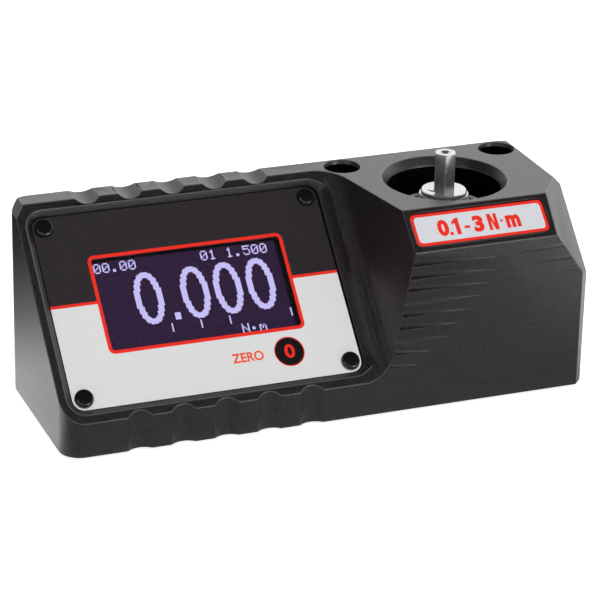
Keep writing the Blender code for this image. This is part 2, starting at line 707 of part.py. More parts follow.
def cut_bench_holes(housing):
    for index, spot in enumerate(bench_spots()):
        seat = UNDERSIDE + BENCH_SEAT
        profile = [(0, TOP + BEYOND), (BENCH_MOUTH + BEYOND * BENCH_SPREAD_RATE, TOP + BEYOND),
                   (BENCH_COUNTERBORE, TOP - BENCH_MOUTH_DEPTH), (BENCH_COUNTERBORE, seat),
                   (BENCH_BORE, seat), (BENCH_BORE, UNDERSIDE - BEYOND), (0, UNDERSIDE - BEYOND)]
        cut(housing, turned("bench_hole_%d" % index, profile, location=(*spot, 0)))


def cut_underside(housing):
    """Two chambers with a web between them, a passage for the leads, and the seat of the base plate."""
    low = UNDERSIDE - BEYOND
    lean = (WALL_FRONT - WALL_SLOPE * math.sin(SLOPE_ANGLE)) / math.cos(SLOPE_ANGLE)
    front_roof = LIP_TOP + lean * math.sin(SLOPE_ANGLE) - WALL_SLOPE * math.cos(SLOPE_ANGLE)
    roof = TOP - WALL_RIDGE
    rise = (roof - LIP_TOP + WALL_SLOPE * math.cos(SLOPE_ANGLE)) / math.sin(SLOPE_ANGLE)
    roof_front = FRONT + rise * math.cos(SLOPE_ANGLE) + WALL_SLOPE * math.sin(SLOPE_ANGLE)
    section = [(FRONT + WALL_FRONT, low), (BACK - WALL_BACK, low), (BACK - WALL_BACK, roof),
               (roof_front, roof), (FRONT + WALL_FRONT, front_roof)]
    shape = extruded("display_chamber", section, LEFT + WALL_END, WEB_LEFT, "X")
    cut(housing, place(shape, "display_chamber"))
    size = (RIGHT - WALL_END - WEB_RIGHT, CHAMBER_DEPTH, DRIVE_CHAMBER - low + UNDERSIDE)
    shape = box("drive_chamber", size, (WEB_RIGHT, FRONT + WALL_FRONT, low))
    cut(housing, place(shape, "drive_chamber"))
    size = (WEB_RIGHT - WEB_LEFT + 2 * BEYOND / 10, PASSAGE_WIDTH, PASSAGE_HEIGHT - low + UNDERSIDE)
    spot = (WEB_LEFT - BEYOND / 10, FRONT + PASSAGE_FRONT, low)
    cut(housing, place(box("lead_passage", size, spot), "lead_passage"))
    shape = extruded("plate_seat", plate_outline(SIDE_GAP), low, PLATE_SEAT)
    cut(housing, place(shape, "plate_seat"))
    for index, spot in enumerate(plate_screw_spots()):
        shape = cylinder("plate_thread_%d" % index, PLATE_SCREW_SHANK + SIDE_GAP, low,
                         UNDERSIDE + PLATE_SCREW_LENGTH + SEAT_GAP, COARSE)
        cut(housing, place(shape, "plate_thread_%d" % index, location=(*spot, 0)))


def socket_cut(name, left, width, height):
    size = (width + 2 * SIDE_GAP, WALL_BACK + 2 * BEYOND, height + 2 * SIDE_GAP)
    low = (LEFT + MAIN_BOARD_LEFT + left - SIDE_GAP, BACK - WALL_BACK - BEYOND / 4, SOCKET_BASE - SIDE_GAP)
    return place(box(name, size, low), name)


def cut_back(housing):
    """Openings of the two sockets and of the power rocker."""
    cut(housing, socket_cut("power_opening", POWER_SOCKET_LEFT, POWER_SOCKET_WIDTH, POWER_SOCKET_HEIGHT))
    cut(housing, socket_cut("data_opening", DATA_SOCKET_LEFT, DATA_SOCKET_WIDTH, DATA_SOCKET_HEIGHT))
    width = ROCKER_BODY_WIDTH + 2 * SIDE_GAP
    height = ROCKER_BODY_HEIGHT + 2 * SIDE_GAP
    shape = box("rocker_opening", (width, 2 * BEYOND / 3, height), (-width / 2, -BEYOND / 3, -height / 2))
    cut(housing, place(shape, "rocker_opening", location=ROCKER_AXIS))
    outline = rocker_outline(SIDE_GAP)
    shape = extruded("rocker_pocket", outline, ROCKER_SEAT, BEYOND, "Y")
    cut(housing, place(shape, "rocker_pocket", location=ROCKER_AXIS))


def make_housing():
    housing = place(body_blank(), "housing", ANODISED)
    cut_slope(housing)
    cut_block_faces(housing)
    cut_ledges(housing)
    cut_scallops(housing)
    cut_panel_seat(housing)
    cut_label_seat(housing)
    cut_well(housing)
    cut_bench_holes(housing)
    cut_underside(housing)
    cut_back(housing)


def make_panel():
    outline = rectangle(PANEL_LEFT, PANEL_LOW, PANEL_LENGTH, PANEL_WIDTH, PANEL_CORNER)
    panel = place(extruded("front_panel", outline, PANEL_BACK, PANEL_TOP), "front_panel", PANEL_GREY, slope_frame)
    outline = rectangle(WINDOW_X, WINDOW_Y, WINDOW_LENGTH, WINDOW_WIDTH, WINDOW_CORNER)
    shape = extruded("window_cut", outline, PANEL_BACK - BEYOND, PANEL_TOP + BEYOND)
    cut(panel, place(shape, "window_cut", parent=slope_frame))
    shape = cylinder("button_hole", BUTTON_RADIUS + SIDE_GAP, PANEL_BACK - BEYOND, PANEL_TOP + BEYOND)
    cut(panel, place(shape, "button_hole", parent=slope_frame, location=BUTTON_SPOT))
    for index, spot in enumerate(panel_screw_spots()):
        shape = cylinder("panel_hole_%d" % index, PANEL_SCREW_SHANK + SIDE_GAP, PANEL_BACK - BEYOND,
                         PANEL_TOP + BEYOND, COARSE)
        cut(panel, place(shape, "panel_hole_%d" % index, parent=slope_frame, location=(*spot, 0)))


def domed_screw(head, rise, shank, length, steps=5):
    """Profile of a screw with a domed head that has a flat middle; the seat of the head is at 0."""
    flat = head * 0.72
    points = [(0, rise)]
    for step in range(steps + 1):
        angle = math.pi / 2 * (1 - step / steps)
        points.append((flat + (head - flat) * math.cos(angle), rise * (0.18 + 0.82 * math.sin(angle))))
    points += [(head, 0), (shank, 0), (shank, -length), (0, -length)]
    return points


def make_panel_screws():
    profile = domed_screw(PANEL_SCREW_HEAD, PANEL_SCREW_RISE, PANEL_SCREW_SHANK, PANEL_SCREW_LENGTH)
    for index, spot in enumerate(panel_screw_spots()):
        seat = (*spot, PANEL_TOP + SEAT_GAP)
        turned("panel_screw_%d" % (index + 1), profile, BLACK_SCREW, slope_frame, seat, COARSE + 8)


def make_display():
    lens = rectangle(WINDOW_X + SIDE_GAP, WINDOW_Y + SIDE_GAP, WINDOW_LENGTH - 2 * SIDE_GAP,
                     WINDOW_WIDTH - 2 * SIDE_GAP, WINDOW_CORNER)
    flange = rectangle(WINDOW_X - LENS_FLANGE, WINDOW_Y - LENS_FLANGE, WINDOW_LENGTH + 2 * LENS_FLANGE,
                       WINDOW_WIDTH + 2 * LENS_FLANGE, WINDOW_CORNER)
    rear = place(extruded("lens_flange", flange, LENS_REAR, RECESS_FLOOR), "lens_flange", parent=slope_frame)
    shape = extruded("display_window", lens, (LENS_REAR + RECESS_FLOOR) / 2, PANEL_TOP - SEAT_GAP)
    window = place(shape, "display_window", LENS, slope_frame)
    join(window, rear)
    outline = rectangle(WINDOW_X - MODULE_MARGIN_LONG, WINDOW_Y - MODULE_MARGIN_WIDE,
                        WINDOW_LENGTH + 2 * MODULE_MARGIN_LONG, WINDOW_WIDTH + 2 * MODULE_MARGIN_WIDE,
                        WINDOW_CORNER)
    place(extruded("display_module", outline, MODULE_REAR, MODULE_FRONT), "display_module", PLAIN_STEEL,
          slope_frame)
    outline = rectangle(BOARD_LEFT, BOARD_LOW, BOARD_LENGTH, BOARD_WIDTH, WINDOW_CORNER)
    board = place(extruded("display_board", outline, BOARD_REAR, BOARD_FRONT), "display_board", BOARD_GREEN,
                  slope_frame)
    bore = SMALL_SCREW_SHANK + SIDE_GAP
    post = [(SPACER_RADIUS, RECESS_FLOOR), (SPACER_RADIUS, BOARD_FRONT + SEAT_GAP),
            (bore, BOARD_FRONT + SEAT_GAP), (bore, RECESS_FLOOR)]
    screw = domed_screw(SMALL_SCREW_HEAD, SMALL_SCREW_RISE, SMALL_SCREW_SHANK, SMALL_SCREW_LENGTH, 3)
    for index, spot in enumerate(spacer_spots()):
        number = index + 1
        shape = cylinder("board_hole_%d" % number, bore, BOARD_REAR - BEYOND, BOARD_FRONT + BEYOND, COARSE)
        cut(board, place(shape, "board_hole_%d" % number, parent=slope_frame, location=(*spot, 0)))
        turned("panel_spacer_%d" % number, post, BRASS, slope_frame, (*spot, 0), COARSE, closed=True)
        item = turned("board_screw_%d" % number, screw, PLAIN_STEEL, slope_frame,
                      (*spot, BOARD_REAR - SEAT_GAP), COARSE)
        item.rotation_euler = (math.pi, 0, 0)


def make_button():
    """Zero button, held behind the panel by its flange, over the switch on the display board."""
    face = PANEL_TOP + BUTTON_PROUD
    flange_top = RECESS_FLOOR
    flange_base = flange_top - BUTTON_FLANGE_DEPTH
    switch_top = BOARD_FRONT + SEAT_GAP + SWITCH_HEIGHT
    plunger_top = switch_top + BUTTON_TRAVEL + SEAT_GAP
    stem_base = plunger_top + SEAT_GAP
    edge = BUTTON_PROUD / 2
    cap = [(0, face), (BUTTON_RADIUS - edge, face), (BUTTON_RADIUS, face - edge), (BUTTON_RADIUS, flange_top),
           (BUTTON_RADIUS + BUTTON_FLANGE, flange_top), (BUTTON_RADIUS + BUTTON_FLANGE, flange_base),
           (BUTTON_STEM, flange_base), (BUTTON_STEM, stem_base), (0, stem_base)]
    turned("zero_button", cap, BLACK_PLASTIC, slope_frame, BUTTON_SPOT)
    low = (-SWITCH_SIZE / 2, -SWITCH_SIZE / 2, BOARD_FRONT + SEAT_GAP)
    shape = box("button_switch", (SWITCH_SIZE, SWITCH_SIZE, SWITCH_HEIGHT), low)
    switch = place(shape, "button_switch", BLACK_PLASTIC, slope_frame, BUTTON_SPOT)
    depth = switch_top - 2 * BUTTON_TRAVEL - 2 * SEAT_GAP
    shape = cylinder("plunger_bore", SWITCH_PLUNGER + SIDE_GAP, depth, switch_top + BEYOND, COARSE)
    cut(switch, place(shape, "plunger_bore", parent=slope_frame, location=BUTTON_SPOT))
    shape = cylinder("switch_plunger", SWITCH_PLUNGER, depth + BUTTON_TRAVEL + SEAT_GAP, plunger_top, COARSE)
    place(shape, "switch_plunger", PANEL_GREY, slope_frame, BUTTON_SPOT)


def make_label():
    outline = rectangle(LABEL_LEFT, LABEL_LOW, LABEL_LENGTH, LABEL_WIDTH, LABEL_CORNER)
    floor = -LABEL_RECESS + SEAT_GAP
    shape = extruded("range_label", outline, floor, floor + LABEL_THICKNESS)
    place(shape, "range_label", LABEL_GREY, label_frame)


def make_transducer():
    """Transducer body in the well: flange, barrel with a small lip round its crown, and a bored middle."""
    bore = SHANK_RADIUS + SIDE_GAP
    floor = HUB_BASE - SHANK_LENGTH - SEAT_GAP
    flange = TRANSDUCER_BASE + TRANSDUCER_FLANGE_DEPTH
    profile = [(TRANSDUCER_RADIUS - 2 * TRANSDUCER_LIP, TRANSDUCER_CROWN),
               (TRANSDUCER_RADIUS - TRANSDUCER_LIP, TRANSDUCER_CROWN + TRANSDUCER_LIP),
               (TRANSDUCER_RADIUS, TRANSDUCER_CROWN + TRANSDUCER_LIP), (TRANSDUCER_RADIUS, flange),
               (TRANSDUCER_FLANGE, flange), (TRANSDUCER_FLANGE, TRANSDUCER_BASE),
               (LEAD_HOLE, TRANSDUCER_BASE), (LEAD_HOLE, floor), (bore, floor), (bore, TRANSDUCER_CROWN)]
    body = turned("transducer_body", profile, PLAIN_STEEL, drive_frame, facets=FINE, closed=True)
    tip = WELL_BASE - (WELL_FLOOR - DRIVE_CHAMBER) + FIXING_LENGTH
    screw = [(0, FIXING_LENGTH), (FIXING_SHANK, FIXING_LENGTH), (FIXING_SHANK, 0), (FIXING_HEAD, 0),
             (FIXING_HEAD, -FIXING_HEAD_DEPTH), (0, -FIXING_HEAD_DEPTH)]
    for index, spot in enumerate(fixing_spots()):
        number = index + 1
        shape = cylinder("fixing_thread_%d" % number, FIXING_SHANK + SIDE_GAP, 0, tip + SEAT_GAP, COARSE)
        cut(body, place(shape, "fixing_thread_%d" % number, parent=drive_frame, location=(*spot, 0)))
        seat = (*spot, UNDERSIDE + DRIVE_CHAMBER - SEAT_GAP)
        turned("transducer_screw_%d" % number, screw, BLACK_SCREW, drive_frame, seat, COARSE)


def make_drive():
    """Hexagon, hub disc and shank in one piece, with the retaining ring and bearing ring below the disc."""
    hex_top = TOP + HEX_RISE
    corner = HEX_ACROSS_FLATS / math.sqrt(3)
    shank = [(0, HUB_TOP), (HUB_RADIUS - HUB_EDGE, HUB_TOP), (HUB_RADIUS, HUB_TOP - HUB_EDGE),
             (HUB_RADIUS, HUB_BASE), (SHANK_RADIUS, HUB_BASE),
             (SHANK_RADIUS, HUB_BASE - SHANK_LENGTH), (0, HUB_BASE - SHANK_LENGTH)]
    drive = turned("hex_drive", shank, BRIGHT_STEEL, drive_frame, facets=FINE)
    blank = cylinder("hexagon", corner, HUB_BASE + HUB_THICKNESS / 2, hex_top, 6)
    hexagon = place(blank, "hexagon", parent=drive_frame, rotation=(0, 0, HEX_TURN))
    clear = corner - HEX_TIP_RADIUS
    tip = [(2 * corner, hex_top + clear), (2 * corner, hex_top + HEX_TIP_RADIUS - 2 * corner),
           (HEX_TIP_RADIUS - clear, hex_top + clear)]
    relief = turned("hexagon_tip", tip, parent=drive_frame, facets=MEDIUM, closed=True)
    cut(hexagon, relief)
    join(drive, hexagon)
    hole = cylinder("centre_hole", 0, hex_top - HEX_CENTRE_HOLE, hex_top + HEX_CENTRE_HOLE, COARSE,
                    2 * HEX_CENTRE_HOLE)
    cut(drive, place(hole, "centre_hole", parent=drive_frame))
    bore = SHANK_RADIUS + SIDE_GAP
    section = [(RING_RADIUS, RING_BASE + RING_THICKNESS), (RING_RADIUS, RING_BASE), (bore, RING_BASE),
               (bore, RING_BASE + RING_THICKNESS)]
    ring = turned("retaining_ring", section, PLAIN_STEEL, drive_frame, facets=MEDIUM, closed=True)
    gap = box("ring_opening", (RING_OPENING, 2 * RING_RADIUS, 2 * BEYOND), (-RING_OPENING / 2, -2 * RING_RADIUS,
                                                                          RING_BASE - BEYOND))
    cut(ring, place(gap, "ring_opening", parent=drive_frame))
    section = [(bore, BEARING_TOP), (BEARING_RADIUS - HUB_EDGE, BEARING_TOP),
               (BEARING_RADIUS, BEARING_TOP - HUB_EDGE),
               (BEARING_RADIUS, BEARING_BASE), (bore, BEARING_BASE)]
    turned("bearing_ring", section, BRIGHT_STEEL, drive_frame, facets=FINE, closed=True)


def make_base():
    """Base plate in its seat, its countersunk screws, and rubber feet plugged into it."""
    plate = place(extruded("base_plate", plate_outline(0), UNDERSIDE, PLATE_TOP), "base_plate", ANODISED)
    sink = PLATE_SCREW_HEAD - PLATE_SCREW_SHANK
    screw = [(0, PLATE_SCREW_LENGTH), (PLATE_SCREW_SHANK, PLATE_SCREW_LENGTH), (PLATE_SCREW_SHANK, sink),
             (PLATE_SCREW_HEAD, 0), (0, 0)]
    bore = PLATE_SCREW_SHANK + SIDE_GAP
    mouth = PLATE_SCREW_HEAD + 2 * SIDE_GAP
    hole = [(0, BEYOND), (bore, BEYOND), (bore, mouth - bore), (mouth + BEYOND, -BEYOND), (0, -BEYOND)]
    for index, spot in enumerate(plate_screw_spots()):
        number = index + 1
        cut(plate, turned("plate_hole_%d" % number, hole, location=(*spot, UNDERSIDE), facets=COARSE))
        turned("base_screw_%d" % number, screw, BLACK_SCREW, None, (*spot, UNDERSIDE), COARSE)
    edge = FOOT_PROUD / 3
    pad = UNDERSIDE - SEAT_GAP
    foot = [(0, PLATE_TOP), (FOOT_STEM, PLATE_TOP), (FOOT_STEM, pad), (FOOT_RADIUS, pad), (FOOT_RADIUS, edge),
            (FOOT_RADIUS - edge, 0), (0, 0)]
    for index, spot in enumerate(foot_spots()):
        number = index + 1
        shape = cylinder("foot_hole_%d" % number, FOOT_STEM + SIDE_GAP, 0, PLATE_TOP + BEYOND, COARSE)
        cut(plate, place(shape, "foot_hole_%d" % number, location=(*spot, 0)))
        turned("foot_%d" % number, foot, RUBBER, None, (*spot, 0), COARSE + 8)


def make_main_board():
    left = LEFT + MAIN_BOARD_LEFT
    outline = rectangle(left, MAIN_BOARD_FRONT, MAIN_BOARD_LENGTH, MAIN_BOARD_WIDTH, WINDOW_CORNER)
    board = place(extruded("main_board", outline, MAIN_BOARD_BASE, MAIN_BOARD_TOP), "main_board", BOARD_GREEN)
    bore = SMALL_SCREW_SHANK + SIDE_GAP
    base = PLATE_TOP + SEAT_GAP
    top = base + STANDOFF_HEIGHT
    floor = top - SMALL_SCREW_LENGTH + BOARD_THICKNESS
    post = [(0, floor), (bore, floor), (bore, top), (STANDOFF_RADIUS, top), (STANDOFF_RADIUS, base), (0, base)]
    screw = domed_screw(SMALL_SCREW_HEAD, SMALL_SCREW_RISE, SMALL_SCREW_SHANK, SMALL_SCREW_LENGTH, 3)
    for index, spot in enumerate(standoff_spots()):
        number = index + 1
        shape = cylinder("main_hole_%d" % number, bore, 0, MAIN_BOARD_TOP + BEYOND, COARSE)
        cut(board, place(shape, "main_hole_%d" % number, location=(*spot, 0)))
        turned("board_standoff_%d" % number, post, BRASS, None, (*spot, 0), COARSE)
        turned("main_board_screw_%d" % number, screw, PLAIN_STEEL, None, (*spot, SOCKET_BASE), COARSE)


def make_sockets():
    """Power and data sockets on the back edge of the main board, with their faces just inside the wall."""
    face = BACK - SOCKET_SINK
    left = LEFT + MAIN_BOARD_LEFT + POWER_SOCKET_LEFT
    size = (POWER_SOCKET_WIDTH, POWER_SOCKET_LENGTH, POWER_SOCKET_HEIGHT)
    shape = box("power_socket", size, (left, face - POWER_SOCKET_LENGTH, SOCKET_BASE))
    power = place(shape, "power_socket", BLACK_PLASTIC)
    barrel = [(POWER_BARREL, BARREL_DEPTH), (POWER_BARREL, -BARREL_DEPTH), (POWER_PIN, -BARREL_DEPTH),
              (POWER_PIN, BARREL_DEPTH)]
    hollow = turned("power_barrel", barrel, facets=COARSE + 8, closed=True)
    hollow.location = (left + POWER_SOCKET_WIDTH / 2, face, SOCKET_BASE + POWER_SOCKET_HEIGHT / 2)
    hollow.rotation_euler = (math.pi / 2, 0, 0)
    cut(power, hollow)
    left = LEFT + MAIN_BOARD_LEFT + DATA_SOCKET_LEFT
    size = (DATA_SOCKET_WIDTH, DATA_SOCKET_LENGTH, DATA_SOCKET_HEIGHT)
    shape = box("data_socket", size, (left, face - DATA_SOCKET_LENGTH, SOCKET_BASE))
    data = place(shape, "data_socket", PLAIN_STEEL)
    inside = (DATA_SOCKET_WIDTH - 2 * DATA_SHELL, BARREL_DEPTH + BEYOND, DATA_SOCKET_HEIGHT - 2 * DATA_SHELL)
    corner = (left + DATA_SHELL, face - BARREL_DEPTH, SOCKET_BASE + DATA_SHELL)
    mouth = place(box("data_mouth", inside, corner), "data_mouth")
    size = (DATA_SOCKET_WIDTH / 2, BARREL_DEPTH, DATA_TONGUE)
    low = (left + DATA_SOCKET_WIDTH / 4, face - BARREL_DEPTH - DATA_SHELL,
           SOCKET_BASE + (DATA_SOCKET_HEIGHT - DATA_TONGUE) / 2)
    tongue = place(box("data_tongue", size, low), "data_tongue")
    cut(data, mouth)
    join(data, tongue)


def make_rocker():
    """Power rocker on its pivot, inside a frame that is pushed into the back wall from behind."""
    seat = ROCKER_SEAT + SEAT_GAP
    front = seat + ROCKER_FLANGE
    flange = extruded("rocker_flange", rocker_outline(0), seat, front, "Y")
    size = (ROCKER_BODY_WIDTH, ROCKER_BODY_DEPTH, ROCKER_BODY_HEIGHT)
    low = (-ROCKER_BODY_WIDTH / 2, front - ROCKER_FLANGE / 2 - ROCKER_BODY_DEPTH, -ROCKER_BODY_HEIGHT / 2)
    frame = place(box("rocker_frame", size, low), "rocker_frame", BLACK_PLASTIC, location=ROCKER_AXIS)
    join(frame, place(flange, "rocker_flange", location=ROCKER_AXIS))
    width = ROCKER_BODY_WIDTH - 2 * ROCKER_WALL
    height = ROCKER_BODY_HEIGHT - 2 * ROCKER_WALL
    low = (-width / 2, front - ROCKER_HOLLOW, -height / 2)
    shape = box("rocker_hollow", (width, BEYOND, height), low)
    cut(frame, place(shape, "rocker_hollow", location=ROCKER_AXIS))
    bearing = cylinder("rocker_bearing", ROCKER_PIN + SIDE_GAP, -BEYOND, BEYOND, COARSE)
    cut(frame, place(bearing, "rocker_bearing", location=ROCKER_AXIS, rotation=(0, math.pi / 2, 0)))
    reach = width / 2 - SIDE_GAP
    section = [(ROCKER_FACE, ROCKER_HALF), (ROCKER_VALLEY, 0), (ROCKER_FACE, -ROCKER_HALF),
               (0, -ROCKER_HALF), (-ROCKER_REAR, -ROCKER_HALF / 2), (-ROCKER_REAR, ROCKER_HALF / 2),
               (0, ROCKER_HALF)]
    shape = extruded("power_rocker", section, -reach, reach, "X")
    rocker = place(shape, "power_rocker", BLACK_PLASTIC, location=ROCKER_AXIS, rotation=(-ROCKER_TILT, 0, 0))
    reach += ROCKER_WALL
    pin = cylinder("rocker_pin", ROCKER_PIN, -reach, reach, COARSE)
    join(rocker, place(pin, "rocker_pin", location=ROCKER_AXIS, rotation=(0, math.pi / 2, 0)))


def main():
    make_housing()
    make_panel()
    make_panel_screws()
    make_display()
    make_button()
    make_label()
    make_transducer()
    make_drive()
    make_base()
    make_main_board()
    make_sockets()
    make_rocker()


main()
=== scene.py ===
"""Looks of the torque wrench tester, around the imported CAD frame. Metres, in the CAD's own frame."""

import math

import bmesh
import bpy
from mathutils import Matrix, Vector


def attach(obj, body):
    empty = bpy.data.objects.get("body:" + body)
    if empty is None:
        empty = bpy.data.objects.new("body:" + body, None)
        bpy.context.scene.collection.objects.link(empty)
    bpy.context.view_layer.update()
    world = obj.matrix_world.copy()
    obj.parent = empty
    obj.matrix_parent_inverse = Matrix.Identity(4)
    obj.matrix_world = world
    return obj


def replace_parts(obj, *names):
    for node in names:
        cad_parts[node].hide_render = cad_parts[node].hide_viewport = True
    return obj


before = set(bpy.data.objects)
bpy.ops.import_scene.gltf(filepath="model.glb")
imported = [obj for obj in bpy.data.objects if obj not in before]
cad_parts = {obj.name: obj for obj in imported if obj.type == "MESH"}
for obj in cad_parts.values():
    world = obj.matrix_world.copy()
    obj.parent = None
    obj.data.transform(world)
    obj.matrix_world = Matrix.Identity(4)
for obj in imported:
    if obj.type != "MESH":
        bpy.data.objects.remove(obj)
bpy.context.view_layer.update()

MM = 0.001

# Body sizes that the looks need, as in the CAD
BODY_LENGTH = 260.0 * MM
BODY_DEPTH = 90.0 * MM
BODY_HEIGHT = 94.2 * MM
LIP_HEIGHT = 16.7 * MM
RIDGE_DEPTH = 11.1 * MM
LABEL_FACE_DEPTH = 16.8 * MM
LABEL_FACE_DROP = 15.1 * MM
FOOT_PROUD = 1.5 * MM

# Bores that light hardly enters, whose walls below the mouth get painted shade, as centre, radius and depth
# of the wider mouth
WELL = ((74.9 * MM, 5.4 * MM), 27.3 * MM, 4.1 * MM)
BENCH_LEFT = ((34.1 * MM, 35.0 * MM), 8.4 * MM, 1.7 * MM)
BENCH_RIGHT = ((115.7 * MM, 35.0 * MM), 8.4 * MM, 1.7 * MM)
BORE_MARGIN = 0.2 * MM

# The transducer's lip in the well starts just above this height; it gets bright steel as a painted highlight
# on its edge
PAINTED_HIGHLIGHT_LIP_LOW = 80.05 * MM

# Copies of CAD nodes: welding, smooth shading and the softening of edges
WELD_DISTANCE = 0.002 * MM
FLAT_ANGLE = math.radians(0.6)
SHARP_ANGLE = math.radians(32)
HOUSING_SHARP_ANGLE = math.radians(24)
EDGE_SEGMENTS = 2

# Edges of faces narrower than this, such as ledges, get a fraction of the softening
NARROW_FACE = 0.6 * MM
NARROW_WEIGHT = 0.25

# Round corners and circles of the films and inks
CORNER_STEPS = 6
CIRCLE_STEPS = 64

# Panel, window and printed areas, from the foot of the slope: along the body, then up the slope
PANEL_LEFT = 6.9 * MM
PANEL_LOW = 7.4 * MM
PANEL_LENGTH = 140.8 * MM
PANEL_WIDTH = 96.2 * MM
PANEL_CORNER = 5.5 * MM
PANEL_TOP = -2.3 * MM
WINDOW_LEFT = 30.9 * MM
WINDOW_LOW = 34.1 * MM
WINDOW_LENGTH = 92.6 * MM
WINDOW_WIDTH = 46.0 * MM
WINDOW_CORNER = 1.5 * MM
BORDER_WIDTH = 1.7 * MM
STRIPE_LOW = 57.8 * MM
STRIPE_WIDTH = 1.5 * MM
FILM_THICKNESS = 0.10 * MM
INK_THICKNESS = 0.04 * MM
PANE_THICKNESS = 0.3 * MM
BUTTON_CENTRE = (114.2 * MM, 21.9 * MM)
BUTTON_FACE = -1.8 * MM
BUTTON_RING = (6.95 * MM, 7.35 * MM)

# Lettering on the panel and the button; a box is left, low, width and height
ZERO_WORD_BOX = (85.9 * MM, 19.6 * MM, 15.5 * MM, 4.8 * MM)
ZERO_WORD_WEIGHT = 0.026
ZERO_MARK_WIDTH = 5.0 * MM
ZERO_MARK_HEIGHT = 6.8 * MM
ZERO_MARK_WEIGHT = 0.03

# Dot display behind the window
DOT_PITCH = 0.7075 * MM
DOT_SIZE = 0.67 * MM
DOT_COLUMNS = 128
DOT_ROWS = 64
SCREEN_LEFT = 31.4 * MM
SCREEN_LOW = 34.3 * MM
SCREEN_FACE = -5.9 * MM
SCREEN_THICKNESS = 0.2 * MM

# What the display shows, in columns from the left and rows from below
DIGIT_COLUMNS = 19
DIGIT_ROWS = 37
DIGIT_STROKE = 4.2
DIGIT_BASE = 16
DIGIT_ROUNDNESS = 2.15
DIGIT_LEFTS = (24, 56, 79, 102)
POINT_COLUMNS = range(48, 52)
POINT_ROWS = range(17, 22)
TICK_COLUMNS = (44, 64, 84, DOT_COLUMNS - 1)
TICK_ROWS = range(9, 15)
GLYPH_PITCH = 6
GLYPH_ROWS = 7
SMALL_LINES = (("00.00", 1, 56), ("01 1.500", 75, 56), ("N-m", 91, 1))
SMALL_GLYPHS = {
    "0": (".###.", "#...#", "#..##", "#.#.#", "##..#", "#...#", ".###."),
    "1": ("..#..", ".##..", "..#..", "..#..", "..#..", "..#..", ".###."),
    "5": ("#####", "#....", "####.", "....#", "....#", "#...#", ".###."),
    ".": (".....", ".....", ".....", ".....", ".....", ".##..", ".##.."),
    "N": ("#...#", "#...#", "##..#", "#.#.#", "#..##", "#...#", "#...#"),
    "-": (".....", ".....", ".....", ".##..", ".##..", ".....", "....."),
    "m": (".....", ".....", "##.#.", "#.#.#", "#.#.#", "#...#", "#...#"),
    " ": (".....",) * GLYPH_ROWS,
}

# Range label, from the left end of the body and the low edge of its face; a letter is its left and width
LABEL_LEFT = 171.3 * MM
LABEL_LOW = 3.3 * MM
LABEL_LENGTH = 67.4 * MM
LABEL_WIDTH = 16.4 * MM
LABEL_CORNER = 2.4 * MM
LABEL_TOP = -0.4 * MM
LABEL_BORDER = 1.5 * MM
LETTERS_LOW = 7.2 * MM
LETTERS_HEIGHT = 8.4 * MM
SMALL_LETTER_HEIGHT = 6.6 * MM
LETTER_BAR = 1.6 * MM
LETTER_WEIGHT = 0.055
LETTER_ZERO = (183.4 * MM, 5.5 * MM)
LETTER_POINT = (188.9 * MM, LETTER_BAR)
LETTER_ONE = (190.9 * MM, 3.6 * MM)
LETTER_DASH = (196.8 * MM, 2.8 * MM)
LETTER_THREE = (201.4 * MM, 5.3 * MM)
LETTER_NEWTON = (209.0 * MM, 4.9 * MM)
LETTER_METRE = (218.0 * MM, 7.3 * MM)
MIDDLE_DOT_CENTRE = 215.9 * MM
MIDDLE_DOT_RADIUS = 0.65 * MM

# Camera, from a fit to the photograph
CAMERA_PLACE = (-450.404 * MM, -1132.596 * MM, 565.636 * MM)
CAMERA_AZIMUTH = math.radians(21.686)
CAMERA_ELEVATION = math.radians(23.149)
CAMERA_ROLL = math.radians(1.248)
CAMERA_LENS = 167.916
CAMERA_NEAR = 0.05
CAMERA_FAR = 50.0

# Sky: one level for matt surfaces; for glossy ones, levels by height, then how bright each side is
SKY_MATT = 0.20
SKY_HEIGHTS = ((0.05, 0.50), (0.33, 1.00), (0.52, 1.00), (0.78, 0.03))
SKY_BACK_DIRECTION = (0.6, 0.8, 0.0)
SKY_BACK_REACH = (0.1, 0.85)
SKY_BACK = 1.95
SKY_LEFT = 0.08
SKY_FRONT_REACH = (-0.2, -0.6)
SKY_FRONT = 0.60

# Small bright patches in the glossy sky that give the domed screws their highlights
GLINTS = ((-0.755, -0.470, 0.443), (0.450, -0.865, 0.220))
GLINT_REACH = (0.989, 0.995)
GLINT_LEVEL = 16.0

# Floor: its colour and glow for the camera, and its levels in reflections, by place along Y and at the right
FLOOR_HALF_SIZE = 6.0
FLOOR_COLOUR = 0.80
FLOOR_ROUGHNESS = 0.9
FLOOR_LIT = 0.85
FLOOR_MIRRORED = ((-0.30, 0.42), (-0.05, 0.42), (-0.02, 1.80), (0.06, 1.80), (0.13, 0.55), (0.21, 0.06),
                  (0.30, 0.04))
FLOOR_RIGHT_REACH = (0.15, 0.22)
FLOOR_MIRRORED_RIGHT = 1.9

# Lamps
LAMP_SIZE = 1.0
KEY_PLACE = (0.10, -1.0, 1.7)
KEY_POWER = 29.0
FILL_PLACE = (-0.7, -1.2, 1.0)
FILL_POWER = 4.0

LEFT = -BODY_LENGTH / 2
FRONT = -BODY_DEPTH / 2
TOP = FOOT_PROUD + BODY_HEIGHT
SLOPE_ANGLE = math.atan2(BODY_HEIGHT - LIP_HEIGHT, BODY_DEPTH - RIDGE_DEPTH)
LABEL_ANGLE = math.atan2(LABEL_FACE_DROP, LABEL_FACE_DEPTH)
SLOPE = Matrix.Translation((LEFT, FRONT, FOOT_PROUD + LIP_HEIGHT)) @ Matrix.Rotation(SLOPE_ANGLE, 4, "X")
LABEL_FACE = Matrix.Translation((LEFT, FRONT, TOP - LABEL_FACE_DROP)) @ Matrix.Rotation(LABEL_ANGLE, 4, "X")

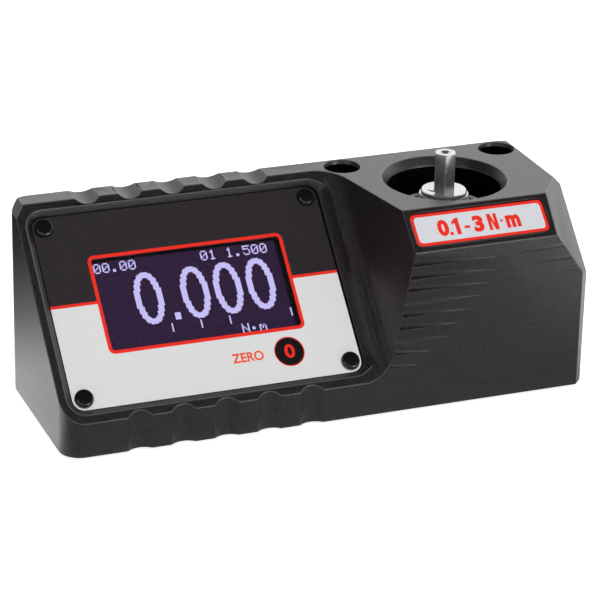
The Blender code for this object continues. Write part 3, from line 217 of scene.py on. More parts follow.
# Surface grain: noise cells per metre, and the height of the bumps
GRAIN_SCALE = 2200.0
GRAIN_HEIGHT = 0.03 * MM
GRAIN_DETAIL = 3.0
GRAIN_ROUGHNESS = 0.65
MOTTLE_SCALE = 350.0
MOTTLE_DETAIL = 4.0
MOTTLE_ROUGHNESS = 0.5
MOTTLE_CONTRAST = (0.36, 0.64)

# Softened edges of the black metal: a painted highlight makes them paler where the edge faces up
EDGE_DARK = (0.014, 0.012, 0.013)
EDGE_HIGHLIGHT = (0.075, 0.070, 0.072)
EDGE_HIGHLIGHT_FACING = (0.15, 0.75)


def set_socket(tree, socket, source):
    """Links a socket to a node's output, or gives it a plain colour."""
    if isinstance(source, bpy.types.NodeSocket):
        tree.links.new(source, socket)
    else:
        socket.default_value = (*source, 1.0)


def map_range(tree, source, start, end, low=0.0, high=1.0):
    """Output that goes from low to high while the source goes from start to end, and stays there beyond."""
    node = tree.nodes.new("ShaderNodeMapRange")
    node.inputs["From Min"].default_value = start
    node.inputs["From Max"].default_value = end
    node.inputs["To Min"].default_value = low
    node.inputs["To Max"].default_value = high
    tree.links.new(source, node.inputs["Value"])
    return node.outputs["Result"]


def mix_colours(tree, factor, first, second):
    node = tree.nodes.new("ShaderNodeMix")
    node.data_type = "RGBA"
    tree.links.new(factor, node.inputs["Factor"])
    set_socket(tree, node.inputs["A"], first)
    set_socket(tree, node.inputs["B"], second)
    return node.outputs["Result"]


def combine(tree, operation, first, second):
    node = tree.nodes.new("ShaderNodeMath")
    node.operation = operation
    tree.links.new(first, node.inputs[0])
    tree.links.new(second, node.inputs[1])
    return node.outputs[0]


def along(tree, direction, axis):
    """How far a direction points along a fixed axis."""
    node = tree.nodes.new("ShaderNodeVectorMath")
    node.operation = "DOT_PRODUCT"
    node.inputs[1].default_value = axis
    tree.links.new(direction, node.inputs[0])
    return node.outputs["Value"]


def grey_ramp(tree, source, levels, interpolation):
    """Colour ramp of greys, given as pairs of position and level."""
    node = tree.nodes.new("ShaderNodeValToRGB")
    node.color_ramp.interpolation = interpolation
    stops = node.color_ramp.elements
    for stop, (position, level) in zip(stops, (levels[0], levels[-1])):
        stop.position = position
        stop.color = (level, level, level, 1.0)
    for position, level in levels[1:-1]:
        stops.new(position).color = (level, level, level, 1.0)
    tree.links.new(source, node.inputs["Fac"])
    return node.outputs["Color"]


def separate_axes(tree, source):
    node = tree.nodes.new("ShaderNodeSeparateXYZ")
    tree.links.new(source, node.inputs[0])
    return node.outputs


def noise(tree, place, scale, detail, roughness):
    node = tree.nodes.new("ShaderNodeTexNoise")
    node.inputs["Detail"].default_value = detail
    node.inputs["Roughness"].default_value = roughness
    tree.links.new(place, node.inputs["Vector"])
    tree.links.new(scale, node.inputs["Scale"])
    return node.outputs["Fac"]


def blasted_grain_group():
    """Fine even grain of a bead-blasted or moulded surface: a normal, and a mask that mottles the colour."""
    group = bpy.data.node_groups.new("blasted_grain", "ShaderNodeTree")
    for label, value in (("Grain", GRAIN_SCALE), ("Height", GRAIN_HEIGHT), ("Mottle", MOTTLE_SCALE)):
        socket = group.interface.new_socket(label, in_out="INPUT", socket_type="NodeSocketFloat")
        socket.default_value = value
    group.interface.new_socket("Normal", in_out="OUTPUT", socket_type="NodeSocketVector")
    group.interface.new_socket("Mask", in_out="OUTPUT", socket_type="NodeSocketFloat")
    given = group.nodes.new("NodeGroupInput")
    result = group.nodes.new("NodeGroupOutput")
    place = group.nodes.new("ShaderNodeTexCoord").outputs["Object"]
    grain = noise(group, place, given.outputs["Grain"], GRAIN_DETAIL, GRAIN_ROUGHNESS)
    mottle = noise(group, place, given.outputs["Mottle"], MOTTLE_DETAIL, MOTTLE_ROUGHNESS)
    bump = group.nodes.new("ShaderNodeBump")
    bump.inputs["Strength"].default_value = 1.0
    group.links.new(given.outputs["Height"], bump.inputs["Distance"])
    group.links.new(grain, bump.inputs["Height"])
    both = group.nodes.new("ShaderNodeMix")
    both.inputs["Factor"].default_value = 0.5
    group.links.new(grain, both.inputs["A"])
    group.links.new(mottle, both.inputs["B"])
    group.links.new(bump.outputs["Normal"], result.inputs["Normal"])
    group.links.new(map_range(group, both.outputs["Result"], *MOTTLE_CONTRAST), result.inputs["Mask"])
    return group


GRAIN = blasted_grain_group()


def finish_material(name, dark, light, roughness, metallic=0.0, ior=1.5, grain=GRAIN_SCALE,
                    height=GRAIN_HEIGHT, mottle=MOTTLE_SCALE, rough_spread=0.05):
    """A surface whose colour and roughness wander between two values, with a fine grain in its normal."""
    material = bpy.data.materials.new(name)
    material.use_nodes = True
    tree = material.node_tree
    shader = tree.nodes["Principled BSDF"]
    shader.inputs["Metallic"].default_value = metallic
    shader.inputs["IOR"].default_value = ior
    surface = tree.nodes.new("ShaderNodeGroup")
    surface.node_tree = GRAIN
    surface.inputs["Grain"].default_value = grain
    surface.inputs["Height"].default_value = height
    surface.inputs["Mottle"].default_value = mottle
    mask = surface.outputs["Mask"]
    colour = dark if dark == light else mix_colours(tree, mask, dark, light)
    set_socket(tree, shader.inputs["Base Color"], colour)
    spread = map_range(tree, mask, 0.0, 1.0, roughness - rough_spread, roughness + rough_spread)
    tree.links.new(spread, shader.inputs["Roughness"])
    tree.links.new(surface.outputs["Normal"], shader.inputs["Normal"])
    return material


def lit_material(name, colour, glow, strength, roughness):
    material = finish_material(name, colour, colour, roughness, height=0.005 * MM)
    shader = material.node_tree.nodes["Principled BSDF"]
    shader.inputs["Emission Color"].default_value = (*glow, 1.0)
    shader.inputs["Emission Strength"].default_value = strength
    return material


def edge_highlight_material():
    """Anodised metal along softened edges, with a painted highlight on those that face up."""
    material = finish_material("black_anodised_edge_painted_highlight", EDGE_DARK, EDGE_DARK, 0.34, ior=1.6)
    tree = material.node_tree
    normal = tree.nodes.new("ShaderNodeTexCoord").outputs["Normal"]
    # Painted highlight: edges facing up get the paler colour
    highlight_mask = map_range(tree, separate_axes(tree, normal)["Z"], *EDGE_HIGHLIGHT_FACING)
    highlight_colour = mix_colours(tree, highlight_mask, EDGE_DARK, EDGE_HIGHLIGHT)
    tree.links.new(highlight_colour, tree.nodes["Principled BSDF"].inputs["Base Color"])
    return material


# Black metal and dark parts of the body
ANODISED = finish_material(
    "black_anodised", (0.001, 0.0004, 0.0006), (0.024, 0.0195, 0.0215), 0.38, ior=1.6, grain=1100.0,
    height=0.07 * MM, mottle=1000.0)
# Edge material with a painted highlight on up-facing edges
EDGE_PAINTED_HIGHLIGHT = edge_highlight_material()
# Painted shade for the walls deep in the bores: near black, with hardly any reflection
BORE_PAINTED_SHADE = finish_material(
    "bore_painted_shade", (0.0004, 0.0004, 0.0004), (0.0008, 0.0007, 0.0008), 0.6, ior=1.12)
BLACK_OXIDE = finish_material(
    "black_oxide", (0.004, 0.004, 0.004), (0.007, 0.007, 0.007), 0.15, ior=1.7, height=0.002 * MM,
    rough_spread=0.03)
BUTTON_BLACK = finish_material(
    "button_black", (0.004, 0.004, 0.004), (0.007, 0.007, 0.007), 0.35, height=0.01 * MM)
MOULDED = finish_material(
    "moulded_black", (0.012, 0.012, 0.013), (0.020, 0.020, 0.021), 0.48, grain=1600.0)
ROCKER_GLOSS = finish_material(
    "rocker_black", (0.010, 0.010, 0.011), (0.016, 0.016, 0.017), 0.25, height=0.01 * MM)
RUBBER = finish_material(
    "foot_rubber", (0.014, 0.014, 0.014), (0.026, 0.026, 0.026), 0.8, grain=900.0, height=0.06 * MM)

# Panel, label and their inks
PLATE_EDGE = finish_material("plate_edge", (0.012, 0.011, 0.012), (0.02, 0.019, 0.02), 0.4)
FILM_DARK = finish_material(
    "film_charcoal", (0.018, 0.0145, 0.017), (0.023, 0.0195, 0.022), 0.36, height=0.008 * MM)
FILM_LIGHT = finish_material(
    "film_light_grey", (0.65, 0.65, 0.65), (0.67, 0.67, 0.67), 0.38, height=0.008 * MM)
LABEL_FILM = finish_material("label_film", (0.59, 0.60, 0.64), (0.63, 0.64, 0.68), 0.38, height=0.006 * MM)
INK_RED = finish_material(
    "ink_red", (0.72, 0.024, 0.014), (0.78, 0.030, 0.018), 0.45, ior=1.25, height=0.006 * MM)
INK_ORANGE = finish_material(
    "ink_orange_red", (0.76, 0.085, 0.020), (0.82, 0.095, 0.024), 0.45, ior=1.25, height=0.006 * MM)

# Display and its window
SCREEN = lit_material("screen_violet", (0.010, 0.006, 0.014), (0.022, 0.010, 0.034), 1.0, 0.3)
DOT_LIT = lit_material("dot_lit", (0.10, 0.09, 0.14), (0.60, 0.56, 1.0), 1.02, 0.5)
MODULE_CASE = finish_material("module_case", (0.006, 0.006, 0.007), (0.010, 0.010, 0.011), 0.5)
WINDOW = finish_material(
    "clear_window", (0.01, 0.008, 0.012), (0.014, 0.011, 0.017), 0.08, height=0.002 * MM, rough_spread=0.02)
WINDOW.node_tree.nodes["Principled BSDF"].inputs["Alpha"].default_value = 0.08

# Drive, sockets, boards and their fasteners
BRIGHT_STEEL = finish_material(
    "bright_steel", (0.40, 0.39, 0.38), (0.47, 0.46, 0.45), 0.20, metallic=0.8, height=0.004 * MM,
    rough_spread=0.04)
RING_STEEL = finish_material(
    "ring_steel", (0.55, 0.54, 0.53), (0.65, 0.64, 0.63), 0.3, metallic=0.7, height=0.006 * MM)
DARK_STEEL = finish_material(
    "blackened_steel", (0.010, 0.010, 0.010), (0.018, 0.018, 0.018), 0.4, height=0.01 * MM)
SHELL_STEEL = finish_material(
    "plated_shell", (0.45, 0.45, 0.46), (0.55, 0.55, 0.56), 0.28, metallic=1.0, height=0.006 * MM)
BOARD_GREEN = finish_material("board_green", (0.012, 0.10, 0.045), (0.02, 0.14, 0.065), 0.4)
BRASS = finish_material("turned_brass", (0.50, 0.36, 0.14), (0.60, 0.45, 0.20), 0.3, metallic=1.0)


def add_piece(name, mesh, material, body="body"):
    piece = bpy.data.objects.new(name, mesh)
    bpy.context.scene.collection.objects.link(piece)
    mesh.materials.clear()
    mesh.materials.append(material)
    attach(piece, body)
    return piece


def weigh_edges(work, sharp):
    """Bevel weights: full on sharp outward edges, and small on those of narrow faces."""
    weight = work.edges.layers.float.new("bevel_weight_edge")
    for edge in work.edges:
        if not edge.is_convex or edge.calc_face_angle(0.0) < sharp:
            continue
        narrow = min(2 * face.calc_area() / face.calc_perimeter() for face in edge.link_faces)
        edge[weight] = 1.0 if narrow > NARROW_FACE else NARROW_WEIGHT


def dressed(node, material, softened=0.0, edge=None, sharp=SHARP_ANGLE, body="body"):
    """A copy of a CAD node with welded faces, smooth shading and softened edges; it stands for the node."""
    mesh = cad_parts[node].data.copy()
    work = bmesh.new()
    work.from_mesh(mesh)
    bmesh.ops.remove_doubles(work, verts=work.verts, dist=WELD_DISTANCE)
    bmesh.ops.dissolve_limit(work, angle_limit=FLAT_ANGLE, verts=work.verts, edges=work.edges)
    bmesh.ops.recalc_face_normals(work, faces=work.faces)
    weigh_edges(work, sharp)
    work.to_mesh(mesh)
    work.free()
    mesh.normals_split_custom_set([(0, 0, 0)] * len(mesh.loops))
    mesh.shade_smooth()
    mesh.set_sharp_from_angle(angle=sharp)
    piece = add_piece(node + "_dressed", mesh, material, body)
    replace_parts(piece, node)
    if softened > 0:
        soften = piece.modifiers.new("softened_edges", "BEVEL")
        soften.width = softened
        soften.segments = EDGE_SEGMENTS
        soften.limit_method = "WEIGHT"
        soften.use_clamp_overlap = False
        soften.harden_normals = True
        if edge is not None:
            mesh.materials.append(edge)
            soften.material = 1
    return piece


def numbered(stem, count):
    return ["%s_%d" % (stem, number) for number in range(1, count + 1)]


def repaint(piece, material, chosen):
    """Gives another material to the faces whose middle passes the test."""
    mesh = piece.data
    mesh.materials.append(material)
    for polygon in mesh.polygons:
        if chosen(polygon.center):
            polygon.material_index = len(mesh.materials) - 1


# Whether a face lies deep in a bore, where painted shade goes
def in_painted_shade_bore(spot):
    for centre, radius, mouth_depth in (WELL, BENCH_LEFT, BENCH_RIGHT):
        under_mouth = spot.z < TOP - mouth_depth - BORE_MARGIN
        if under_mouth and (spot.xy - Vector(centre)).length < radius:
            return True
    return False


def rounded(corners, radii):
    """An outline with each corner rounded by its own radius; a radius of 0 leaves it sharp."""
    points = []
    count = len(corners)
    for index, corner in enumerate(corners):
        here = Vector(corner)
        radius = radii[index]
        if radius <= 0:
            points.append(here)
            continue
        back = (Vector(corners[index - 1]) - here).normalized()
        ahead = (Vector(corners[(index + 1) % count]) - here).normalized()
        half = back.angle(ahead) / 2
        centre = here + (back + ahead).normalized() * (radius / math.sin(half))
        start = here + back * (radius / math.tan(half)) - centre
        end = here + ahead * (radius / math.tan(half)) - centre
        sweep = start.angle_signed(end)
        for step in range(CORNER_STEPS + 1):
            points.append(centre + Matrix.Rotation(-sweep * step / CORNER_STEPS, 2) @ start)
    return points


def rectangle(left, low, length, width, radius=0.0):
    corners = [(left, low), (left + length, low), (left + length, low + width), (left, low + width)]
    return rounded(corners, [radius] * 4)


def circle(centre, radius):
    points = []
    for step in range(CIRCLE_STEPS):
        angle = math.tau * step / CIRCLE_STEPS
        points.append(Vector((centre[0] + radius * math.cos(angle), centre[1] + radius * math.sin(angle))))
    return points


def curve_mesh(name, curve, place):
    """Mesh of a flat curve or text, moved to its place; the curve itself is deleted."""
    holder = bpy.data.objects.new(name, curve)
    bpy.context.scene.collection.objects.link(holder)
    shown = holder.evaluated_get(bpy.context.evaluated_depsgraph_get())
    mesh = bpy.data.meshes.new_from_object(shown)
    bpy.data.objects.remove(holder)
    mesh.name = name
    mesh.transform(place)
    return mesh


def flat_mesh(name, outlines, low, high, place):
    """Mesh of a flat shape between two heights; outlines inside the first one are its holes."""
    curve = bpy.data.curves.new(name, "CURVE")
    curve.dimensions = "2D"
    curve.fill_mode = "BOTH"
    curve.extrude = (high - low) / 2
    for outline in outlines:
        spline = curve.splines.new("POLY")
        spline.points.add(len(outline) - 1)
        for point, spot in zip(spline.points, outline):
            point.co = (spot[0], spot[1], 0, 1)
        spline.use_cyclic_u = True
    return curve_mesh(name, curve, place @ Matrix.Translation((0, 0, (low + high) / 2)))


def words_mesh(name, words, box, base, weight, place):
    """Lettering in ink, stretched to a box of left, low, width and height; weight thickens its strokes."""
    left, low, width, height = box
    curve = bpy.data.curves.new(name, "FONT")
    curve.body = words
    curve.size = 1.0
    curve.offset = weight
    curve.fill_mode = "BOTH"
    curve.extrude = 0.5
    mesh = curve_mesh(name, curve, Matrix.Identity(4))
    spots = [vertex.co for vertex in mesh.vertices]
    first = Vector((min(spot.x for spot in spots), min(spot.y for spot in spots), 0))
    last = Vector((max(spot.x for spot in spots), max(spot.y for spot in spots), 0))
    scale = Matrix.Diagonal((width / (last.x - first.x), height / (last.y - first.y), INK_THICKNESS, 1))
    shift = Matrix.Translation((left, low, base + INK_THICKNESS / 2))
    mesh.transform(place @ shift @ scale @ Matrix.Translation(-first))
    return mesh


def add_print(name, outlines, thickness, material):
    """A film or ink of some thickness on the panel."""
    mesh = flat_mesh(name, outlines, PANEL_TOP, PANEL_TOP + thickness, SLOPE)
    add_piece(name, mesh, material)


def dress_body():
    # The housing's softened edges get the anodised material with a painted highlight where they face up
    housing = dressed("housing", ANODISED, softened=0.4 * MM, edge=EDGE_PAINTED_HIGHLIGHT,
                      sharp=HOUSING_SHARP_ANGLE)
    # Painted shade on the faces deep in the well and the bench holes
    repaint(housing, BORE_PAINTED_SHADE, in_painted_shade_bore)
    dressed("base_plate", ANODISED, softened=0.25 * MM)
    for screw in numbered("base_screw", 6):
        dressed(screw, BLACK_OXIDE)
    for foot in numbered("foot", 4):
        dressed(foot, RUBBER, softened=0.2 * MM)


def add_films():
    """The light film around the lower half of the window, and the dark film around the upper half."""
    right = PANEL_LEFT + PANEL_LENGTH
    high = PANEL_LOW + PANEL_WIDTH
    seam = BORDER_WIDTH / 2
    inner_left = WINDOW_LEFT - seam
    inner_right = WINDOW_LEFT + WINDOW_LENGTH + seam
    inner_low = WINDOW_LOW - seam
    inner_high = WINDOW_LOW + WINDOW_WIDTH + seam
    stripe_high = STRIPE_LOW + STRIPE_WIDTH
    lower = [(PANEL_LEFT, PANEL_LOW), (right, PANEL_LOW), (right, STRIPE_LOW), (inner_right, STRIPE_LOW),
             (inner_right, inner_low), (inner_left, inner_low), (inner_left, STRIPE_LOW),
             (PANEL_LEFT, STRIPE_LOW)]
    upper = [(PANEL_LEFT, stripe_high), (inner_left, stripe_high), (inner_left, inner_high),
             (inner_right, inner_high), (inner_right, stripe_high), (right, stripe_high), (right, high),
             (PANEL_LEFT, high)]
    corner = PANEL_CORNER
    button_hole = circle(BUTTON_CENTRE, BUTTON_RING[0])
    lower_outline = rounded(lower, [corner, corner, 0, 0, 0, 0, 0, 0])
    add_print("film_lower", [lower_outline, button_hole], FILM_THICKNESS, FILM_LIGHT)
    upper_outline = rounded(upper, [0, 0, 0, 0, 0, 0, corner, corner])
    add_print("film_upper", [upper_outline], FILM_THICKNESS, FILM_DARK)
    for name, start, end in (("stripe_left", PANEL_LEFT, inner_left), ("stripe_right", inner_right, right)):
        stripe = rectangle(start, STRIPE_LOW, end - start, STRIPE_WIDTH)
        add_print(name, [stripe], FILM_THICKNESS, INK_RED)


def dress_panel():
    """Panel plate, the printed films on it with their red stripe and border, and the clear window."""
    dressed("front_panel", PLATE_EDGE, softened=0.15 * MM)
    add_films()
    ink_top = FILM_THICKNESS + INK_THICKNESS
    outer = rectangle(WINDOW_LEFT - BORDER_WIDTH, WINDOW_LOW - BORDER_WIDTH,
                      WINDOW_LENGTH + 2 * BORDER_WIDTH, WINDOW_WIDTH + 2 * BORDER_WIDTH,
                      WINDOW_CORNER + BORDER_WIDTH)
    inner = rectangle(WINDOW_LEFT, WINDOW_LOW, WINDOW_LENGTH, WINDOW_WIDTH, WINDOW_CORNER)
    add_print("window_border", [outer, inner], ink_top, INK_RED)
    pane = flat_mesh("window_pane", [inner], PANEL_TOP - PANE_THICKNESS, PANEL_TOP, SLOPE)
    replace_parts(add_piece("window_pane", pane, WINDOW), "display_window")
    ring = [circle(BUTTON_CENTRE, BUTTON_RING[1]), circle(BUTTON_CENTRE, BUTTON_RING[0])]
    add_print("button_ring", ring, ink_top, INK_RED)
    film_top = PANEL_TOP + FILM_THICKNESS
    word = words_mesh("zero_word", "ZERO", ZERO_WORD_BOX, film_top, ZERO_WORD_WEIGHT, SLOPE)
    add_piece("zero_word", word, INK_ORANGE)
    for screw in numbered("panel_screw", 4):
        dressed(screw, BLACK_OXIDE)


def dress_button():
    dressed("zero_button", BUTTON_BLACK, body="zero_button")
    box = (BUTTON_CENTRE[0] - ZERO_MARK_WIDTH / 2, BUTTON_CENTRE[1] - ZERO_MARK_HEIGHT / 2,
           ZERO_MARK_WIDTH, ZERO_MARK_HEIGHT)
    mark = words_mesh("zero_mark", "0", box, BUTTON_FACE, ZERO_MARK_WEIGHT, SLOPE)
    add_piece("zero_mark", mark, INK_RED, body="zero_button")


def small_dots(words, column, row):
    """Dots of a line of small characters, whose lowest dots are in that row."""
    for place, letter in enumerate(words):
        for down, line in enumerate(SMALL_GLYPHS[letter]):
            for across, dot in enumerate(line):
                if dot == "#":
                    yield column + GLYPH_PITCH * place + across, row + GLYPH_ROWS - 1 - down


def oval(x, y, half_width, half_height):
    """1 on the edge of an oval, less inside it and more outside."""
    return abs(x / half_width) ** DIGIT_ROUNDNESS + abs(y / half_height) ** DIGIT_ROUNDNESS


def big_zero_dots(column):
    """Dots of a tall zero: those between two ovals."""
    middle = column + DIGIT_COLUMNS / 2
    centre = DIGIT_BASE + DIGIT_ROWS / 2
    for across in range(column, column + DIGIT_COLUMNS):
        for up in range(DIGIT_BASE, DIGIT_BASE + DIGIT_ROWS):
            x = across + 0.5 - middle
            y = up + 0.5 - centre
            outer = oval(x, y, DIGIT_COLUMNS / 2, DIGIT_ROWS / 2)
            inner = oval(x, y, DIGIT_COLUMNS / 2 - DIGIT_STROKE, DIGIT_ROWS / 2 - DIGIT_STROKE)
            if outer <= 1.0 < inner:
                yield across, up


def lit_dots():
    dots = set()
    for column in DIGIT_LEFTS:
        dots.update(big_zero_dots(column))
    dots.update((column, row) for column in POINT_COLUMNS for row in POINT_ROWS)
    dots.update((column, row) for column in TICK_COLUMNS for row in TICK_ROWS)
    for words, column, row in SMALL_LINES:
        dots.update(small_dots(words, column, row))
    return sorted(dots)


def dress_display():
    screen = rectangle(SCREEN_LEFT, SCREEN_LOW, DOT_COLUMNS * DOT_PITCH, DOT_ROWS * DOT_PITCH)
    face = SCREEN_FACE + SCREEN_THICKNESS
    mesh = flat_mesh("screen", [screen], SCREEN_FACE, face, SLOPE)
    add_piece("screen", mesh, SCREEN)
    work = bmesh.new()
    for column, row in lit_dots():
        dot = bmesh.ops.create_cube(work, size=1.0)["verts"]
        spot = (SCREEN_LEFT + (column + 0.5) * DOT_PITCH, SCREEN_LOW + (row + 0.5) * DOT_PITCH,
                face + INK_THICKNESS / 2)
        bmesh.ops.scale(work, vec=(DOT_SIZE, DOT_SIZE, INK_THICKNESS), verts=dot)
        bmesh.ops.translate(work, vec=spot, verts=dot)
    mesh = bpy.data.meshes.new("lit_dots")
    work.to_mesh(mesh)
    work.free()
    mesh.transform(SLOPE)
    add_piece("lit_dots", mesh, DOT_LIT)


def letter_one(left, width):
    """Outline of a 1 with a slanting flag."""
    right = left + width
    high = LETTERS_LOW + LETTERS_HEIGHT
    stem = right - 1.3 * LETTER_BAR
    flag_start = stem + 0.3 * LETTER_BAR
    flag_tip = high - 0.20 * LETTERS_HEIGHT
    flag_low = high - 0.38 * LETTERS_HEIGHT
    flag_root = high - 0.28 * LETTERS_HEIGHT
    return [(stem, LETTERS_LOW), (right, LETTERS_LOW), (right, high), (flag_start, high), (left, flag_tip),
            (left, flag_low), (stem, flag_root)]


def letter_n(left, width):
    """Outline of a capital N."""
    right = left + width
    high = LETTERS_LOW + LETTERS_HEIGHT
    corner = 1.15 * LETTER_BAR
    turn = 0.6 * LETTERS_HEIGHT
    return [(left, LETTERS_LOW), (left + LETTER_BAR, LETTERS_LOW), (left + LETTER_BAR, LETTERS_LOW + turn),
            (right - corner, LETTERS_LOW), (right, LETTERS_LOW), (right, high), (right - LETTER_BAR, high),
            (right - LETTER_BAR, high - turn), (left + corner, high), (left, high)]


def dress_label():
    """Range label: its border and lettering printed on a light film."""
    dressed("range_label", LABEL_FILM)
    outer = rectangle(LABEL_LEFT, LABEL_LOW, LABEL_LENGTH, LABEL_WIDTH, LABEL_CORNER)
    inner = rectangle(LABEL_LEFT + LABEL_BORDER, LABEL_LOW + LABEL_BORDER, LABEL_LENGTH - 2 * LABEL_BORDER,
                      LABEL_WIDTH - 2 * LABEL_BORDER, LABEL_CORNER - LABEL_BORDER / 3)
    middle = LETTERS_LOW + LETTERS_HEIGHT / 2
    dash_left, dash_length = LETTER_DASH
    dash_bar = 0.8 * LETTER_BAR
    shapes = {
        "label_border": [outer, inner],
        "label_point": [rectangle(LETTER_POINT[0], LETTERS_LOW, LETTER_POINT[1], LETTER_BAR)],
        "label_one": [letter_one(*LETTER_ONE)],
        "label_dash": [rectangle(dash_left, middle - LETTER_BAR, dash_length, dash_bar)],
        "label_newton": [letter_n(*LETTER_NEWTON)],
        "label_dot": [circle((MIDDLE_DOT_CENTRE, middle), MIDDLE_DOT_RADIUS)],
    }
    for name, outlines in shapes.items():
        mesh = flat_mesh(name, outlines, LABEL_TOP, LABEL_TOP + INK_THICKNESS, LABEL_FACE)
        add_piece(name, mesh, INK_RED)
    for name, letter, (left, width), height in (
            ("label_zero", "0", LETTER_ZERO, LETTERS_HEIGHT),
            ("label_three", "3", LETTER_THREE, LETTERS_HEIGHT),
            ("label_metre", "m", LETTER_METRE, SMALL_LETTER_HEIGHT)):
        box = (left, LETTERS_LOW, width, height)
        mesh = words_mesh(name, letter, box, LABEL_TOP, LETTER_WEIGHT, LABEL_FACE)
        add_piece(name, mesh, INK_RED)


def repaint_node(name, material):
    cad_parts[name].data.materials[0] = material


def dress_drive():
    dressed("hex_drive", BRIGHT_STEEL, softened=0.15 * MM)
    dressed("bearing_ring", RING_STEEL, softened=0.1 * MM)
    dressed("retaining_ring", RING_STEEL, softened=0.05 * MM)
    transducer = dressed("transducer_body", DARK_STEEL, softened=0.2 * MM)
    # Painted highlight: the transducer's lip above this height gets the bright ring steel
    repaint(transducer, RING_STEEL, lambda spot: spot.z > PAINTED_HIGHLIGHT_LIP_LOW)
    for screw in numbered("transducer_screw", 4):
        repaint_node(screw, BLACK_OXIDE)


def dress_back():
    dressed("power_socket", MOULDED, softened=0.2 * MM)
    dressed("data_socket", SHELL_STEEL, softened=0.15 * MM)
    dressed("rocker_frame", MOULDED, softened=0.25 * MM)
    dressed("power_rocker", ROCKER_GLOSS, softened=0.4 * MM, body="power_rocker")


def finish_inner_nodes():
    """Materials of the nodes inside the body, which keep their CAD shapes."""
    repaint_node("display_module", MODULE_CASE)
    for board in ("display_board", "main_board"):
        repaint_node(board, BOARD_GREEN)
    for switch_part in ("button_switch", "switch_plunger"):
        repaint_node(switch_part, MOULDED)
    for stem in ("panel_spacer", "board_standoff"):
        for spacer in numbered(stem, 4):
            repaint_node(spacer, BRASS)
    for stem in ("board_screw", "main_board_screw"):
        for screw in numbered(stem, 4):
            repaint_node(screw, SHELL_STEEL)


def floor_material():
    """White to the camera; in reflections, bright beside the body and at its right, dark further back."""
    material = bpy.data.materials.new("floor_white")
    material.use_nodes = True
    tree = material.node_tree
    nodes, links = tree.nodes, tree.links
    shader = nodes["Principled BSDF"]
    shader.inputs["Base Color"].default_value = (FLOOR_COLOUR, FLOOR_COLOUR, FLOOR_COLOUR, 1.0)
    shader.inputs["Roughness"].default_value = FLOOR_ROUGHNESS
    shader.inputs["Specular IOR Level"].default_value = 0.0
    path = nodes.new("ShaderNodeLightPath")
    axes = separate_axes(tree, nodes.new("ShaderNodeTexCoord").outputs["Object"])
    glow = nodes.new("ShaderNodeEmission")
    strength = map_range(tree, path.outputs["Is Camera Ray"], 0.0, 1.0, high=FLOOR_LIT)
    links.new(strength, glow.inputs["Strength"])
    shown = nodes.new("ShaderNodeAddShader")
    links.new(shader.outputs[0], shown.inputs[0])
    links.new(glow.outputs[0], shown.inputs[1])
    near = FLOOR_MIRRORED[0][0]
    far = FLOOR_MIRRORED[-1][0]
    levels = [((place - near) / (far - near), level) for place, level in FLOOR_MIRRORED]
    depth_level = grey_ramp(tree, map_range(tree, axes["Y"], near, far), levels, "LINEAR")
    right_level = map_range(tree, axes["X"], *FLOOR_RIGHT_REACH, high=FLOOR_MIRRORED_RIGHT)
    brightest = nodes.new("ShaderNodeVectorMath")
    brightest.operation = "MAXIMUM"
    links.new(depth_level, brightest.inputs[0])
    links.new(right_level, brightest.inputs[1])
    mirrored = nodes.new("ShaderNodeEmission")
    links.new(brightest.outputs[0], mirrored.inputs["Color"])
    by_ray = nodes.new("ShaderNodeMixShader")
    links.new(path.outputs["Is Glossy Ray"], by_ray.inputs["Fac"])
    links.new(shown.outputs[0], by_ray.inputs[1])
    links.new(mirrored.outputs[0], by_ray.inputs[2])
    links.new(by_ray.outputs[0], nodes["Material Output"].inputs["Surface"])
    return material


def make_floor():
    """Pale floor that keeps the object's shadow."""
    work = bmesh.new()
    bmesh.ops.create_grid(work, x_segments=1, y_segments=1, size=FLOOR_HALF_SIZE)
    mesh = bpy.data.meshes.new("floor")
    work.to_mesh(mesh)
    work.free()
    mesh.materials.append(floor_material())
    floor = bpy.data.objects.new("floor", mesh)
    bpy.context.scene.collection.objects.link(floor)


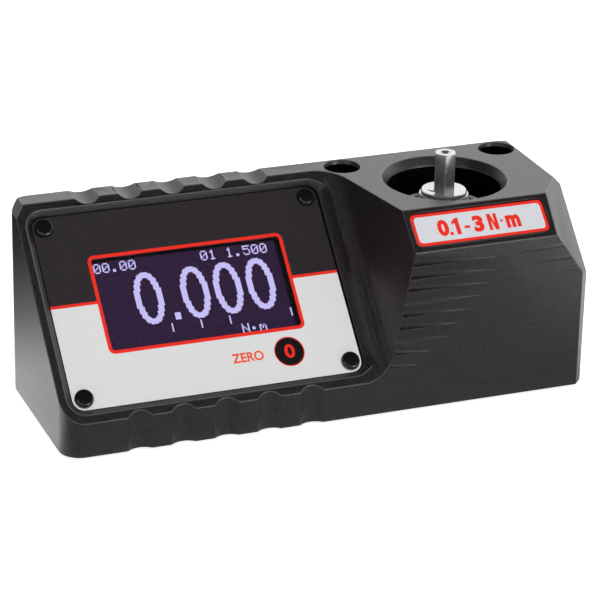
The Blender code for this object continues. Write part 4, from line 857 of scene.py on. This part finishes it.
def make_world():
    """White to the camera, even to matt surfaces, and a bright band under a dark top to glossy ones."""
    world = bpy.data.worlds.new("studio")
    world.use_nodes = True
    bpy.context.scene.world = world
    tree = world.node_tree
    nodes, links = tree.nodes, tree.links
    path = nodes.new("ShaderNodeLightPath")
    direction = nodes.new("ShaderNodeTexCoord").outputs["Generated"]
    axes = separate_axes(tree, direction)
    by_height = grey_ramp(tree, axes["Z"], SKY_HEIGHTS, "EASE")
    toward_back = along(tree, direction, SKY_BACK_DIRECTION)
    back = map_range(tree, toward_back, *SKY_BACK_REACH, low=SKY_LEFT, high=SKY_BACK)
    front = map_range(tree, axes["Y"], *SKY_FRONT_REACH, high=SKY_FRONT)
    level = combine(tree, "MAXIMUM", back, front)
    for glint in GLINTS:
        patch = map_range(tree, along(tree, direction, glint), *GLINT_REACH, high=GLINT_LEVEL)
        level = combine(tree, "ADD", level, patch)
    mirrored = nodes.new("ShaderNodeVectorMath")
    mirrored.operation = "SCALE"
    links.new(by_height, mirrored.inputs[0])
    links.new(level, mirrored.inputs["Scale"])
    glossy = combine(tree, "MAXIMUM", path.outputs["Is Glossy Ray"], path.outputs["Is Transmission Ray"])
    lighting = mix_colours(tree, glossy, (SKY_MATT, SKY_MATT, SKY_MATT), mirrored.outputs[0])
    shown = mix_colours(tree, path.outputs["Is Camera Ray"], lighting, (1.0, 1.0, 1.0))
    links.new(shown, nodes["Background"].inputs["Color"])


def make_lamp(name, place, power):
    """A square lamp that faces the object and doesn't show in reflections."""
    light = bpy.data.lights.new(name, "AREA")
    light.shape = "RECTANGLE"
    light.size = LAMP_SIZE
    light.size_y = LAMP_SIZE
    light.energy = power
    lamp = bpy.data.objects.new(name, light)
    lamp.location = place
    lamp.rotation_euler = (-lamp.location).to_track_quat("-Z", "Y").to_euler()
    lamp.visible_glossy = False
    bpy.context.scene.collection.objects.link(lamp)


def make_camera():
    camera = bpy.data.cameras.new("camera")
    camera.lens = CAMERA_LENS
    camera.clip_start = CAMERA_NEAR
    camera.clip_end = CAMERA_FAR
    holder = bpy.data.objects.new("camera", camera)
    bpy.context.scene.collection.objects.link(holder)
    ahead = Vector((math.sin(CAMERA_AZIMUTH) * math.cos(CAMERA_ELEVATION),
                    math.cos(CAMERA_AZIMUTH) * math.cos(CAMERA_ELEVATION), -math.sin(CAMERA_ELEVATION)))
    right = Vector((math.cos(CAMERA_AZIMUTH), -math.sin(CAMERA_AZIMUTH), 0))
    up = right.cross(ahead)
    rolled_right = math.cos(CAMERA_ROLL) * right + math.sin(CAMERA_ROLL) * up
    rolled_up = math.cos(CAMERA_ROLL) * up - math.sin(CAMERA_ROLL) * right
    turn = Matrix((rolled_right, rolled_up, -ahead)).transposed().to_4x4()
    holder.matrix_world = Matrix.Translation(CAMERA_PLACE) @ turn
    bpy.context.scene.camera = holder


bpy.context.scene.view_settings.view_transform = "Standard"
make_camera()
dress_body()
dress_panel()
dress_button()
dress_display()
dress_label()
dress_drive()
dress_back()
finish_inner_nodes()
make_floor()
make_world()
make_lamp("key", KEY_PLACE, KEY_POWER)
make_lamp("fill", FILL_PLACE, FILL_POWER)
